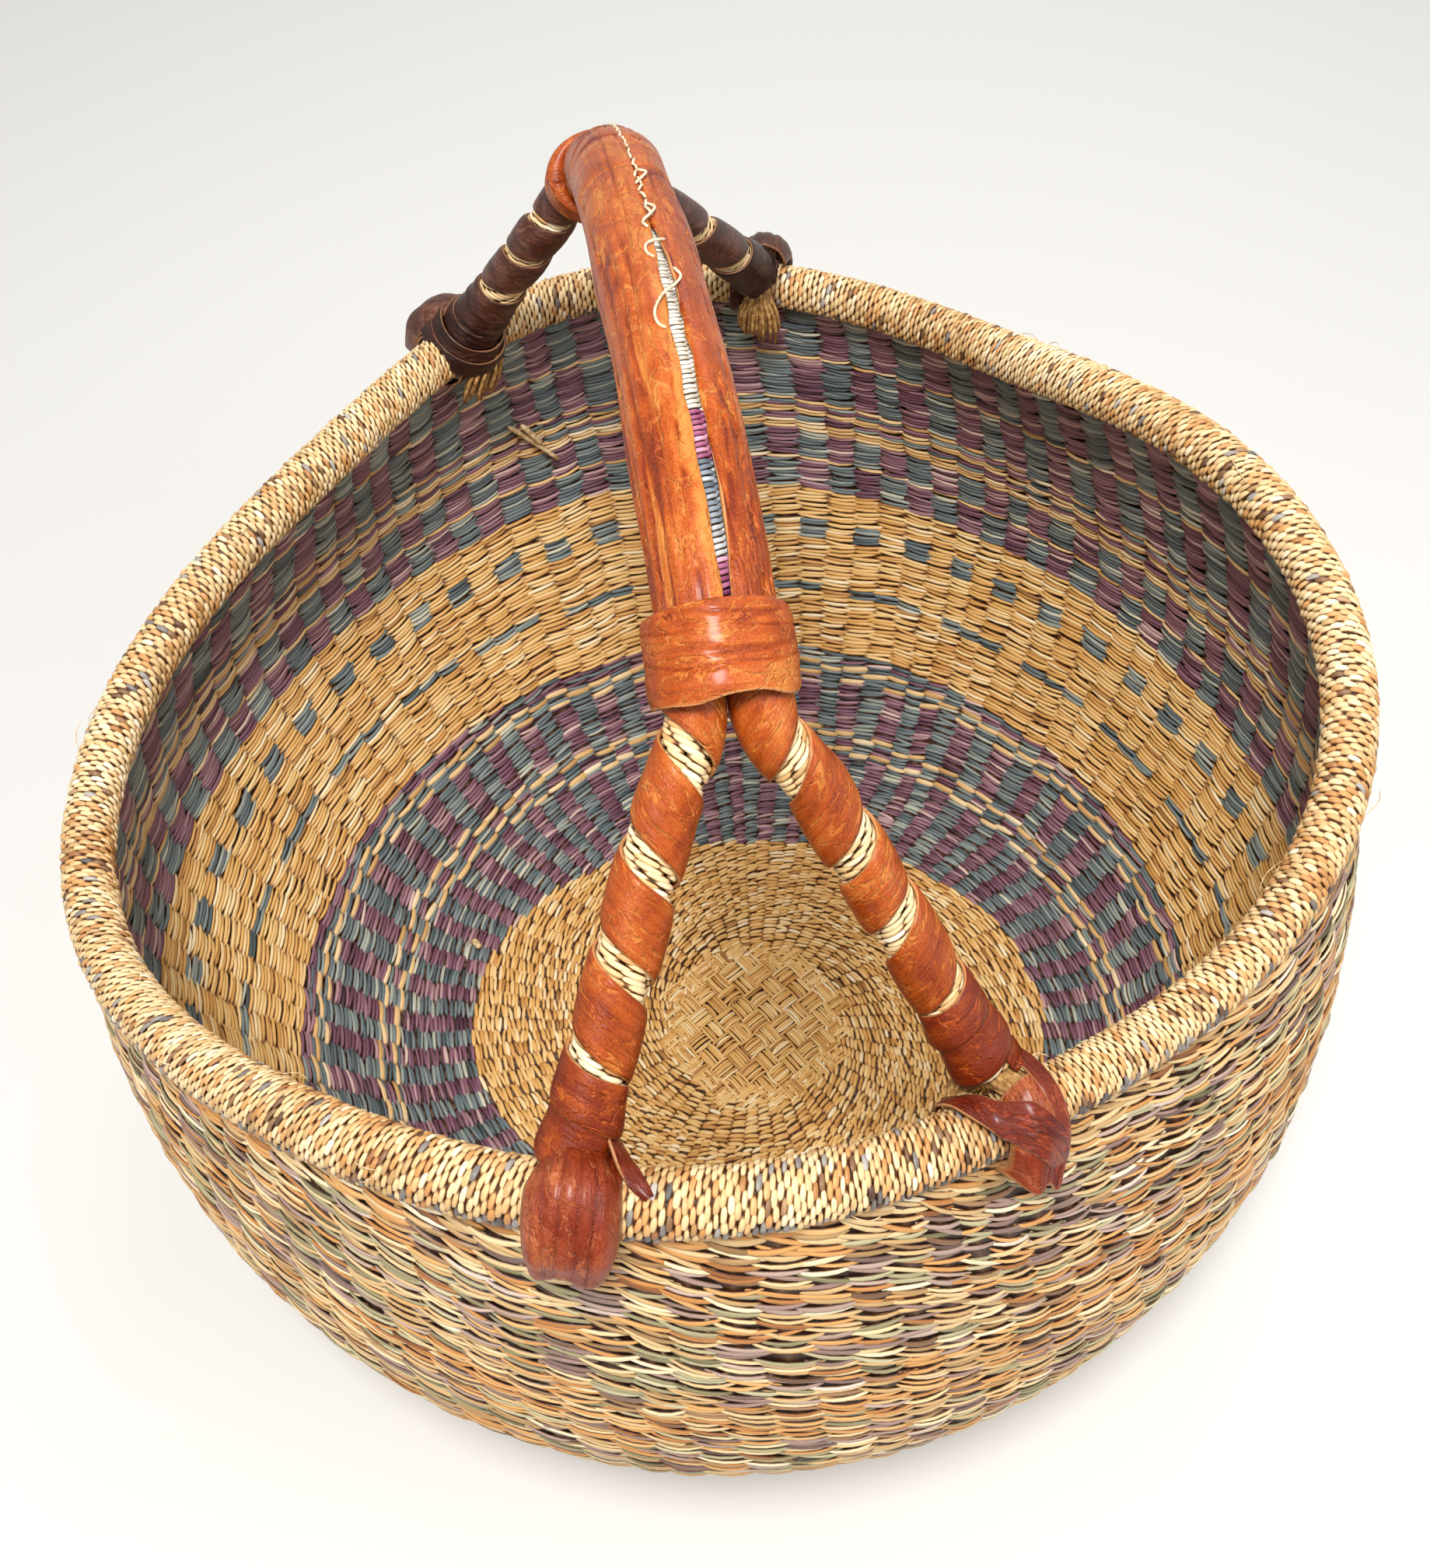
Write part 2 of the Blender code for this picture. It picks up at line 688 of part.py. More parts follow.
def strap_frame(name):
    """The squared-up rim frame of a foot's strap, a little to one side of the leg."""
    angle, side = FEET[name][0], FEET[name][2]
    return foot_frame(angle + side * STRAP_OFFSET / MOUTH_RADIUS)


def foot_strap(name, finish):
    """A leather strap round the rim beside the leg; it passes through the wall below the rim."""
    centre, out, down, along = strap_frame(name)
    half = along * (STRAP_WIDTH / 2)
    rings = []
    for i in range(WRAP_STEPS):
        turn = math.tau * i / WRAP_STEPS
        way = out * math.cos(turn) - down * math.sin(turn)
        near = centre + way * STRAP_BORE
        far = near + way * STRAP_SKIN
        rings.append([near - half, near + half, far + half, far - half])
    return rod("foot_strap_" + name, rings, finish, along_closed=True)


def strap_slot(name, bowl):
    """The slot in the wall that the strap passes through."""
    centre, out, down, along = strap_frame(name)
    size = (STRAP_WIDTH + 2 * SLOT_EASE, WALL + 2 * CUT_OVERRUN, STRAP_SKIN + 2 * SLOT_EASE)
    depth = STRAP_BORE + STRAP_SKIN / 2
    builder = bmesh.new()
    bmesh.ops.create_cube(builder, size=1.0)
    for corner in builder.verts:
        x, y, z = (corner.co[k] * size[k] for k in range(3))
        corner.co = centre + along * x + out * y + down * (depth + z)
    cutter = new_object("slot_cutter_" + name, builder, bowl.data.materials[0])
    cutter.hide_render = True
    cutter.display_type = "WIRE"
    cut = bowl.modifiers.new("slot_" + name, "BOOLEAN")
    cut.operation = "DIFFERENCE"
    cut.solver = "EXACT"
    cut.object = cutter


def foot_cap(leg, name, finish):
    """A leather cap over the outer half of the bundle, from the top of the rim down the outside."""
    crest = TAIL_RADIUS + GAP * 2 + CAP_SKIN / 2
    shoulder = crest - CAP_CROWN
    strap_top = STRAP_BORE + STRAP_SKIN + GAP + CURVE_EASE + CAP_SKIN / 2
    wall_face = WALL / 2 + GAP + CURVE_EASE * 3 + CAP_SKIN / 2
    first_turn = leg.arrival - CAP_CLEARANCE
    arc_steps = 5
    drop_steps = 4
    rings = []
    for i in range(arc_steps + drop_steps + 1):
        if i <= arc_steps:
            turn = first_turn * (1 - i / arc_steps)
            origin = (0.0, 0.0)
            way = (math.cos(turn), math.sin(turn))
            heights = (SADDLE_REACH + crest, SADDLE_REACH + shoulder, strap_top)
        else:
            share = (i - arc_steps) / drop_steps
            origin = (0.0, -leg.cap_drop * share)
            way = (1.0, 0.0)
            tail = outer_tail_x(share * leg.cap_drop / (leg.cap_drop + TAIL_TIP))
            edge = wall_face + (strap_top - wall_face) * (1 - share)
            clear = math.sqrt(max(strap_top ** 2 - (leg.cap_drop * share) ** 2, 0.0))
            heights = (tail + crest, tail + shoulder, max(edge, clear))
        length_share = i / (arc_steps + drop_steps)
        leaf = leg.cap_width / 2 * (1 - LEAF_TAPER_SHARE * abs(2 * length_share - 1) ** 2)
        places = ((-leaf, 2), (-TAIL_RADIUS, 1), (0.0, 0), (TAIL_RADIUS, 1), (leaf, 2))
        near, far = [], []
        for across, k in places:
            low = heights[k] - CAP_SKIN / 2
            high = heights[k] + CAP_SKIN / 2
            near.append(leg.section_point(origin[0] + way[0] * low, origin[1] + way[1] * low, across))
            far.append(leg.section_point(origin[0] + way[0] * high, origin[1] + way[1] * high, across))
        rings.append(near + far[::-1])
    return rod("foot_cap_" + name, rings, finish)


def build():
    clear_scene()
    grass = material("woven_grass", (0.58, 0.40, 0.22), 0.75)
    bundle = material("grass_bundle", (0.62, 0.47, 0.24), 0.8)
    cord = material("twisted_grass_cord", (0.62, 0.42, 0.24), 0.7)
    leather = material("tanned_leather", (0.36, 0.10, 0.03), 0.35)
    dark_leather = material("dark_leather", (0.22, 0.05, 0.025), 0.35)
    thread = material("cotton_thread", (0.75, 0.66, 0.52), 0.7)

    bowl = woven_bowl(grass)
    rim_core(bundle)
    rim_lashing(cord)

    arch = Arch()
    grip_core(arch, bundle)
    grip_binding(arch, cord)
    grip_sheath(arch, leather)
    seam_thread(arch, thread)
    for end in ("front", "rear"):
        collar(arch, end, leather)

    for name in FEET:
        leg = Leg(arch, name)
        leg_core(leg, name, bundle)
        leg_binding(leg, name, cord)
        leg_wrap(leg, name, leather)
        foot_strap(name, dark_leather)
        foot_cap(leg, name, dark_leather)
        strap_slot(name, bowl)


build()
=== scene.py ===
"""Looks of a round woven grass basket with a leather-sheathed carrying handle.

Every strand of the weave, every turn of the bound cord and every strip of leather is laid on the
packed basket's own curves, in the same frame: metres, Z up, the front at -Y.
"""

import math

import bmesh
import bpy
import numpy as np
from bpy.props import FloatProperty, FloatVectorProperty, IntProperty, PointerProperty
from mathutils import Matrix, Vector


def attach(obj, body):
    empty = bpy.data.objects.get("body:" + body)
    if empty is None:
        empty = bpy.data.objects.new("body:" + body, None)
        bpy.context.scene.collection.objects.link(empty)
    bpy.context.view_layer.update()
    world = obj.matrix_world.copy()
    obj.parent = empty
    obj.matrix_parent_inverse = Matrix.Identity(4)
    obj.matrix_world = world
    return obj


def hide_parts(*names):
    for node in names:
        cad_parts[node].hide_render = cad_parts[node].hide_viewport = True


bl_info = {
    "name": "Woven grass basket",
    "version": (1, 0, 0),
    "blender": (4, 5, 0),
    "location": "3D View > Sidebar > Basket",
    "description": "Dresses a packed basket with woven grass, bound cord and leather",
    "category": "Object",
}

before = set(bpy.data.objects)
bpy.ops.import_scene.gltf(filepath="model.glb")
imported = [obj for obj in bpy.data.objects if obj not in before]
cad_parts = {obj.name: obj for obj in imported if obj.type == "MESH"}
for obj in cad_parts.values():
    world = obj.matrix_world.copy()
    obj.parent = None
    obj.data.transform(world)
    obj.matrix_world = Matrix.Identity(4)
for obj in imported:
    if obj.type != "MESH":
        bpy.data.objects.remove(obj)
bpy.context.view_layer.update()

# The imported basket's own sizes
BASE_RADIUS = 0.152
BASE_RISE = 0.007
BASE_DOME_RADIUS = 0.112
BELLY_RADIUS = 0.2255
BELLY_HEIGHT = 0.137
MOUTH_RADIUS = 0.200
RIM_HEIGHT = 0.2515
WALL = 0.005
FLOOR_OFFSET = np.array([0.027, -0.004, 0.0])
CORNER_FULLNESS = 1.39
RIM_SWELL = ((1, 0.0013, 0.0030), (2, -0.0027, 0.0065), (3, 0.0018, -0.0127), (4, 0.0142, -0.0005))
RIM_WAVE = ((1, 0.0159, -0.0028), (2, -0.0114, 0.0047), (3, 0.0115, 0.0232))
RIM_RADIUS = 0.0088
STRAIGHT_WALL = 0.016
HANDLE_TURN = math.radians(9.9)
HANDLE_SHIFT = -0.0091
HANDLE_RISE = 0.140
HANDLE_FULLNESS = 2.54
HANDLE_INSET = 0.004
GRIP_FRONT_RADIUS = 0.0100
GRIP_REAR_RADIUS = 0.0078
GRIP_BINDING = 0.0018
SHEATH_SKIN = 0.0016
SLIT_OPEN = 0.0080
SEAM_TURN = math.radians(-8)
SEAM_START_SHARE = 0.50
SEAM_END_SHARE = 0.93
COLLAR_REACH = 0.1345
COLLAR_WIDTH = 0.020
COLLAR_SKIN = 0.0016
SHEATH_TUCK = 0.008
FORK_CORE_RADIUS = 0.0044
FOOT_CORE_RADIUS = 0.0059
LEG_BINDING = 0.0012
WRAP_SKIN = 0.0011
WRAP_WIDTH = 0.018
WRAP_TUCK = 0.006
FORK_LEAD = 0.028
BEND_EASE = 0.0007
TAIL_RADIUS = 0.0046
INNER_TAIL = 0.024
TAIL_TIP = 0.0015
TAIL_REST = 0.0125
STRAP_WIDTH = 0.0048
CURVE_EASE = 0.0005
GAP = 0.0003
ROUND_STEPS = 48
FEET = {
    "front_left": (math.radians(262.5), "front", 1, 0.028, 0.023, 0.007),
    "front_right": (math.radians(298.0), "front", 1, 0.028, 0.015, 0.0125),
    "rear_left": (math.radians(120.0), "rear", 1, 0.028, 0.021, 0.010),
    "rear_right": (math.radians(83.5), "rear", 1, 0.036, 0.021, 0.010),
}
# Which way the cord and the leather are wound on each leg
HANDS = {"front_left": 1, "front_right": -1, "rear_left": -1, "rear_right": 1}
# How far short of the rim's saddle each leg's winding stops
LEG_STOPS = {"front_left": -0.0045, "front_right": 0.004, "rear_left": -0.0100, "rear_right": 0.009}
BINDING_BUILD = GAP + LEG_BINDING
WRAP_BUILD = BINDING_BUILD + GAP + BEND_EASE + WRAP_SKIN
FORK_RADIUS = FORK_CORE_RADIUS + WRAP_BUILD + GAP
SHEATH_BUILD = GAP + GRIP_BINDING + GAP + CURVE_EASE + SHEATH_SKIN
SADDLE_REACH = RIM_RADIUS + GAP + CURVE_EASE + TAIL_RADIUS
STRAP_REACH = RIM_RADIUS + GAP + CURVE_EASE
STRAP_OFFSET = FOOT_CORE_RADIUS + GAP + CURVE_EASE + STRAP_WIDTH / 2

# The camera, in the basket's frame: the photograph is 1839 by 2016 pixels
FRAME_HEIGHT_PX = 2016
FOCAL_PX = 2107.5
CAMERA_PLACE = (-0.0195, -0.3519, 0.6787)
CAMERA_TARGET = (-0.0195, 0.0043, 0.1886)
CAMERA_ROLL = math.radians(0.52)
SENSOR_MM = 36.0

BAKE_MAP = "OFBake"
MM = 0.001


# Colour


def linear(hex_colour):
    """An sRGB hex colour as linear RGBA."""
    shares = [int(hex_colour[i:i + 2], 16) / 255 for i in (1, 3, 5)]
    return tuple(c / 12.92 if c <= 0.04045 else ((c + 0.055) / 1.055) ** 2.4 for c in shares) + (1.0,)


# Sizes and colours that a user would change


class BasketWeaveSettings(bpy.types.PropertyGroup):
    """Sizes of the weave."""

    stakes: IntProperty(
        name="Stakes", description="Upright stakes round the basket", default=108, min=36, max=200)
    course: FloatProperty(
        name="Course", description="Height of one course of weft", default=2.0 * MM, unit="LENGTH")
    cord: FloatProperty(
        name="Rim cord", description="Spacing of the cord's turns round the rim", default=3.7 * MM, unit="LENGTH")
    seed: IntProperty(name="Seed", description="Start of every random choice", default=7)


class BasketFinishSettings(bpy.types.PropertyGroup):
    """Colours of the leather and the light."""

    tan: FloatVectorProperty(
        name="Leather", description="The sheath's tanned leather", subtype="COLOR", size=4,
        default=linear("#AE4C0E"), min=0, max=1)
    dark: FloatVectorProperty(
        name="Foot leather", description="The darker leather at the feet", subtype="COLOR", size=4,
        default=linear("#822C0C"), min=0, max=1)
    # The rear leather's dark brown is partly its own colour and partly painted shade of the basket's rear.
    umber: FloatVectorProperty(
        name="Rear leather", description="The brown leather of the rear legs", subtype="COLOR", size=4,
        default=linear("#4E2416"), min=0, max=1)
    floor: FloatVectorProperty(
        name="Floor", description="The studio floor", subtype="COLOR", size=4,
        default=linear("#E4E2DE"), min=0, max=1)
    key: FloatProperty(name="Key lamp", description="Power of the key lamp", default=16.0, unit="POWER")


def weave_settings():
    return bpy.context.scene.basket_weave


def finish_settings():
    return bpy.context.scene.basket_finish


# Arithmetic on whole arrays of points


def unit(vectors):
    return vectors / np.linalg.norm(vectors, axis=-1, keepdims=True)


def dot(a, b):
    return np.sum(a * b, axis=-1, keepdims=True)


def smooth(share):
    share = np.clip(share, 0.0, 1.0)
    return share * share * (3 - 2 * share)


def ripple(seed, *measures, terms=9):
    """Smooth irregular ripples of about -1 to 1; each measure is in its own wavelengths."""
    rng = np.random.default_rng(seed)
    total = 0.0
    for _ in range(terms):
        phase = rng.uniform(0, math.tau)
        for measure in measures:
            phase = phase + measure * rng.normal(0, math.tau * 0.6)
        total = total + np.sin(phase)
    return total / math.sqrt(terms / 2) * 0.6


def curve_through(keys, count):
    """A smooth run of values through rows of keys."""
    keys = np.array(keys, float)
    keys = np.vstack([2 * keys[0] - keys[1], keys, 2 * keys[-1] - keys[-2]])
    at = np.linspace(0, len(keys) - 3 - 1e-9, count)
    i = at.astype(int)
    t = (at - i)[:, None]
    a, b, c, d = keys[i], keys[i + 1], keys[i + 2], keys[i + 3]
    bend = (2 * a - 5 * b + 4 * c - d) * t ** 2 + (3 * b - a - 3 * c + d) * t ** 3
    return 0.5 * (2 * b + (c - a) * t + bend)


# The basket's curves


def waves(table, angle):
    return sum(c * np.cos(n * angle) + s * np.sin(n * angle) for n, c, s in table)


def on_basket(angle, radius, height):
    """Carry points of the round profile onto the leaning, wavy basket."""
    climb = np.clip((height - WALL) / (RIM_HEIGHT - WALL), 0.0, None)
    follow = climb ** 2
    reach = radius + follow * waves(RIM_SWELL, angle)
    lean = np.minimum(climb, 1.0)
    x = reach * np.cos(angle) - lean * FLOOR_OFFSET[0]
    y = reach * np.sin(angle) - lean * FLOOR_OFFSET[1]
    return np.stack([x, y, height + follow * waves(RIM_WAVE, angle)], axis=-1)


def upper_radius(height):
    share = (height - BELLY_HEIGHT) / (RIM_HEIGHT - BELLY_HEIGHT)
    return BELLY_RADIUS - (BELLY_RADIUS - MOUTH_RADIUS) * share ** 2


class WallCurve:
    """The middle of the wall, from the centre of the floor up to the rim, by the length along it."""

    def __init__(self):
        turn = np.linspace(0, math.pi / 2, 200)[1:]
        power = 2 / CORNER_FULLNESS
        corner_r = BASE_RADIUS + (BELLY_RADIUS - BASE_RADIUS) * np.sin(turn) ** power
        corner_z = WALL / 2 + (BELLY_HEIGHT - WALL / 2) * (1 - np.cos(turn).clip(0) ** power)
        upper_z = np.linspace(BELLY_HEIGHT, RIM_HEIGHT, 60)[1:]
        floor_r = np.linspace(0, BASE_RADIUS, 60)
        self.radius = np.concatenate([floor_r, corner_r, upper_radius(upper_z)])
        self.height = np.concatenate([np.full(60, WALL / 2), corner_z, upper_z])
        steps = np.hypot(np.diff(self.radius), np.diff(self.height))
        self.length = np.concatenate([[0.0], np.cumsum(steps)])
        self.floor_edge = self.length[59]
        self.top = self.length[-1]
        run = np.gradient(self.radius, self.length)
        rise = np.gradient(self.height, self.length)
        size = np.hypot(run, rise)
        self.out_r, self.out_z = rise / size, -run / size

    def point(self, angle, length, lift):
        """Points at a lift from the middle of the wall, to its outside, or inside when negative."""
        radius = np.interp(length, self.length, self.radius)
        height = np.interp(length, self.length, self.height)
        out_r = np.interp(length, self.length, self.out_r)
        out_z = np.interp(length, self.length, self.out_z)
        dome = np.clip(1 - (radius / BASE_DOME_RADIUS) ** 2, 0, None) ** 2
        dome = np.where((lift < 0) & (length < self.floor_edge), dome, 0.0)
        return on_basket(angle, radius + lift * out_r, height + lift * out_z + BASE_RISE * dome)

    def at_height(self, height):
        """The length along the wall at a height of its profile."""
        wall = self.length >= self.floor_edge
        return np.interp(height, self.height[wall], self.length[wall])


CURVE = WallCurve()


def rim_frame(angle):
    """The rim's centre line with the ways out of the basket, down the wall and along the rim."""
    angle = np.asarray(angle, float)
    reach = MOUTH_RADIUS + waves(RIM_SWELL, angle)
    centre = np.stack([reach * np.cos(angle), reach * np.sin(angle), RIM_HEIGHT + waves(RIM_WAVE, angle)], -1)
    centre = centre - FLOOR_OFFSET
    top = RIM_HEIGHT - STRAIGHT_WALL
    down = unit(on_basket(angle, upper_radius(top), np.full_like(angle, top)) - centre)
    radial = np.stack([np.cos(angle), np.sin(angle), np.zeros_like(angle)], -1)
    out = unit(radial - down * dot(radial, down))
    return centre, out, down, unit(np.cross(out, down))


def foot_frame(angle):
    """The rim's frame at a foot, squared up to the way that the rim runs there."""
    step = math.tau / ROUND_STEPS
    first = math.floor(angle / step) * step
    share = (angle - first) / step
    here, ahead = rim_frame(first), rim_frame(first + step)
    run = unit(ahead[0] - here[0])
    down = here[2] + (ahead[2] - here[2]) * share
    down = unit(down - run * dot(down, run))
    return here[0] + (ahead[0] - here[0]) * share, unit(np.cross(down, run)), down, run


class Path:
    """A line of points with two directions across it and a radius, looked up by length."""

    def __init__(self, points, across, radii):
        self.points = np.array(points, float)
        self.length = np.concatenate([[0.0], np.cumsum(np.linalg.norm(np.diff(self.points, axis=0), axis=1))])
        ahead = unit(np.gradient(self.points, self.length, axis=0))
        side = np.array(across, float)
        self.side = unit(side - ahead * dot(side, ahead))
        self.up = unit(np.cross(self.side, ahead))
        self.radii = np.array(radii, float)

    def look_up(self, table, length):
        return np.stack([np.interp(length, self.length, table[:, k]) for k in range(3)], -1)

    def point(self, length, angle, lift):
        """Points at an angle round the path, counted from its side to its up, and a lift off its radius."""
        length, angle, lift = np.broadcast_arrays(length, angle, lift)
        side = unit(self.look_up(self.side, length))
        up = unit(self.look_up(self.up, length))
        reach = (np.interp(length, self.length, self.radii) + lift)[..., None]
        way = side * np.cos(angle)[..., None] + up * np.sin(angle)[..., None]
        return self.look_up(self.points, length) + way * reach


def arch_path():
    """The grip's centre line from over the front of the rim to over its rear."""
    along = np.array([-math.sin(HANDLE_TURN), math.cos(HANDLE_TURN), 0.0])
    side = np.array([math.cos(HANDLE_TURN), math.sin(HANDLE_TURN), 0.0])
    ends = []
    for sign in (-1, 1):
        angle = sign * math.pi / 2 + HANDLE_TURN
        reach = MOUTH_RADIUS + waves(RIM_SWELL, angle) - HANDLE_INSET
        height = RIM_HEIGHT + waves(RIM_WAVE, angle)
        shift = np.array([HANDLE_SHIFT, 0.0, height]) - FLOOR_OFFSET
        ends.append(shift + along * (sign * reach))
    share = (1 - np.cos(np.linspace(0, math.pi, 241))) / 2
    rise = HANDLE_RISE * (1 - np.abs(2 * share - 1) ** HANDLE_FULLNESS)
    points = ends[0] + (ends[1] - ends[0]) * share[:, None]
    points[:, 2] += rise
    path = Path(points, np.tile(side, (len(points), 1)), np.zeros(len(points)))
    path.up = unit(np.cross(path.side, unit(np.gradient(path.points, path.length, axis=0))))
    grip = (path.length - COLLAR_REACH) / (path.length[-1] - 2 * COLLAR_REACH)
    path.radii = GRIP_FRONT_RADIUS + (GRIP_REAR_RADIUS - GRIP_FRONT_RADIUS) * np.clip(grip, 0, 1)
    return path


ARCH = arch_path()
GRIP_SPAN = ARCH.length[-1] - 2 * COLLAR_REACH


def collar_middle(end):
    return COLLAR_REACH if end == "front" else ARCH.length[-1] - COLLAR_REACH


class Foot:
    """One foot's frame on the rim and the leg's centre line that comes down to it."""

    def __init__(self, name):
        self.angle, self.end, self.strap_side, self.pitch, self.cap_width, self.cap_drop = FEET[name]
        self.name = name
        self.centre, self.out, self.down, self.along = foot_frame(self.angle)
        outward = -1 if self.end == "front" else 1
        middle = collar_middle(self.end)
        start = ARCH.look_up(ARCH.points, middle + outward * GAP)
        mouth_length = middle + outward * COLLAR_WIDTH / 2
        mouth = ARCH.look_up(ARCH.points, mouth_length)
        before = ARCH.look_up(ARCH.points, mouth_length - outward * 0.002)
        ahead = unit(mouth - before)
        side = ARCH.side[0]
        hand = 1 if (self.centre - mouth) @ side > 0 else -1
        shift = side * (hand * FORK_RADIUS)
        fork = mouth + shift
        away = fork - self.centre
        self.arrival = math.atan2(-away @ self.down, away @ self.out)
        radial = self.out * math.cos(self.arrival) - self.down * math.sin(self.arrival)
        landing = self.centre + radial * SADDLE_REACH
        run = unit(landing - fork)
        bend = [fork, fork + ahead * (FORK_LEAD / 3), fork + run * FORK_LEAD]
        shares = np.linspace(0, 1, 17)[:, None]
        curve = bend[0] * (1 - shares) ** 2 + bend[1] * 2 * shares * (1 - shares) + bend[2] * shares ** 2
        rest = np.linspace(0, 1, 34)[1:, None]
        straight = bend[2] + (landing - run * LEG_STOPS[name] - bend[2]) * rest
        points = np.concatenate([[start + shift], curve, straight])
        lengths = np.concatenate([[0], np.cumsum(np.linalg.norm(np.diff(points, axis=0), axis=1))])
        radii = FORK_CORE_RADIUS + (FOOT_CORE_RADIUS - FORK_CORE_RADIUS) * lengths / lengths[-1]
        across = np.tile(side, (len(points), 1))
        self.path = Path(points, across, radii)
        self.hand = HANDS[name]
        self.run = run

    def point(self, x, y, along=0.0):
        """Points of the rim's cross-section at the foot: outward, upward and along the rim."""
        x, y, along = (np.asarray(v, float)[..., None] for v in np.broadcast_arrays(x, y, along))
        return self.centre + self.out * x - self.down * y + self.along * along


# Meshes


def quads_of(patches, rows, columns, flip=False, round_rows=False, round_columns=False):
    """Corner numbers of the quads of grids of points that follow one another."""
    i = np.arange(rows if round_rows else rows - 1)
    j = np.arange(columns if round_columns else columns - 1)
    i, j = np.meshgrid(i, j, indexing="ij")
    ahead, beside = (i + 1) % rows, (j + 1) % columns
    corners = [i * columns + j, i * columns + beside, ahead * columns + beside, ahead * columns + j]
    if flip:
        corners = corners[::-1]
    one = np.stack(corners, -1).reshape(-1, 4)
    return (np.arange(patches)[:, None, None] * (rows * columns) + one).reshape(-1, 4)


def link(name, mesh):
    made = bpy.data.objects.new(name, mesh)
    bpy.context.scene.collection.objects.link(made)
    return made


def grid_object(name, points, maps, finishes, flip=False, round_rows=False, round_columns=False,
                face_finish=None):
    """An object of one or many grids of points, with its maps as attributes of the points.

    points is (grids, rows, columns, 3). maps holds "place" (two numbers from 0 to 1 for the bake),
    "fibre" (millimetres along and across, and a number of its own), "tone" and "depth".
    """
    if points.ndim == 3:
        points = points[None]
        maps = {key: np.asarray(value)[None] for key, value in maps.items()}
    patches, rows, columns = points.shape[:3]
    faces = quads_of(patches, rows, columns, flip, round_rows, round_columns)
    mesh = bpy.data.meshes.new(name)
    mesh.from_pydata(points.reshape(-1, 3), [], faces)
    corner_points = faces.ravel()
    place = np.broadcast_to(maps["place"], points.shape[:3] + (2,)).reshape(-1, 2)
    layer = mesh.uv_layers.new(name=BAKE_MAP)
    layer.data.foreach_set("uv", place[corner_points].astype(np.float32).ravel())
    fibre = mesh.attributes.new("fibre", "FLOAT_VECTOR", "POINT")
    values = np.broadcast_to(maps["fibre"], points.shape).reshape(-1)
    fibre.data.foreach_set("vector", values.astype(np.float32))
    for key in ("tone", "depth"):
        values = np.broadcast_to(maps[key], points.shape[:3]).reshape(-1)
        mesh.attributes.new(key, "FLOAT", "POINT").data.foreach_set("value", values.astype(np.float32))
    for finish in finishes:
        mesh.materials.append(finish)
    if face_finish is not None:
        per_patch = len(faces) // patches
        mesh.polygons.foreach_set("material_index", np.repeat(face_finish, per_patch).astype(np.int32))
    mesh.shade_smooth()
    mesh.validate()
    return link(name, mesh)


def close_edges(made, depth):
    """Give a thin skin its real thickness, inwards."""
    thick = made.modifiers.new("thickness", "SOLIDIFY")
    thick.thickness = depth
    thick.offset = -1.0
    return thick


def apply_modifiers(made):
    """Turn an object's modifiers into its mesh."""
    evaluated = made.evaluated_get(bpy.context.evaluated_depsgraph_get())
    mesh = bpy.data.meshes.new_from_object(evaluated)
    made.modifiers.clear()
    old = made.data
    made.data = mesh
    bpy.data.meshes.remove(old)
    mesh.name = made.name


def place_of(rows, columns):
    """The bake's map of one grid: its rows upwards and its columns to the right."""
    down, across = np.meshgrid(np.linspace(0, 1, rows), np.linspace(0, 1, columns), indexing="ij")
    return np.stack([across, down], -1)


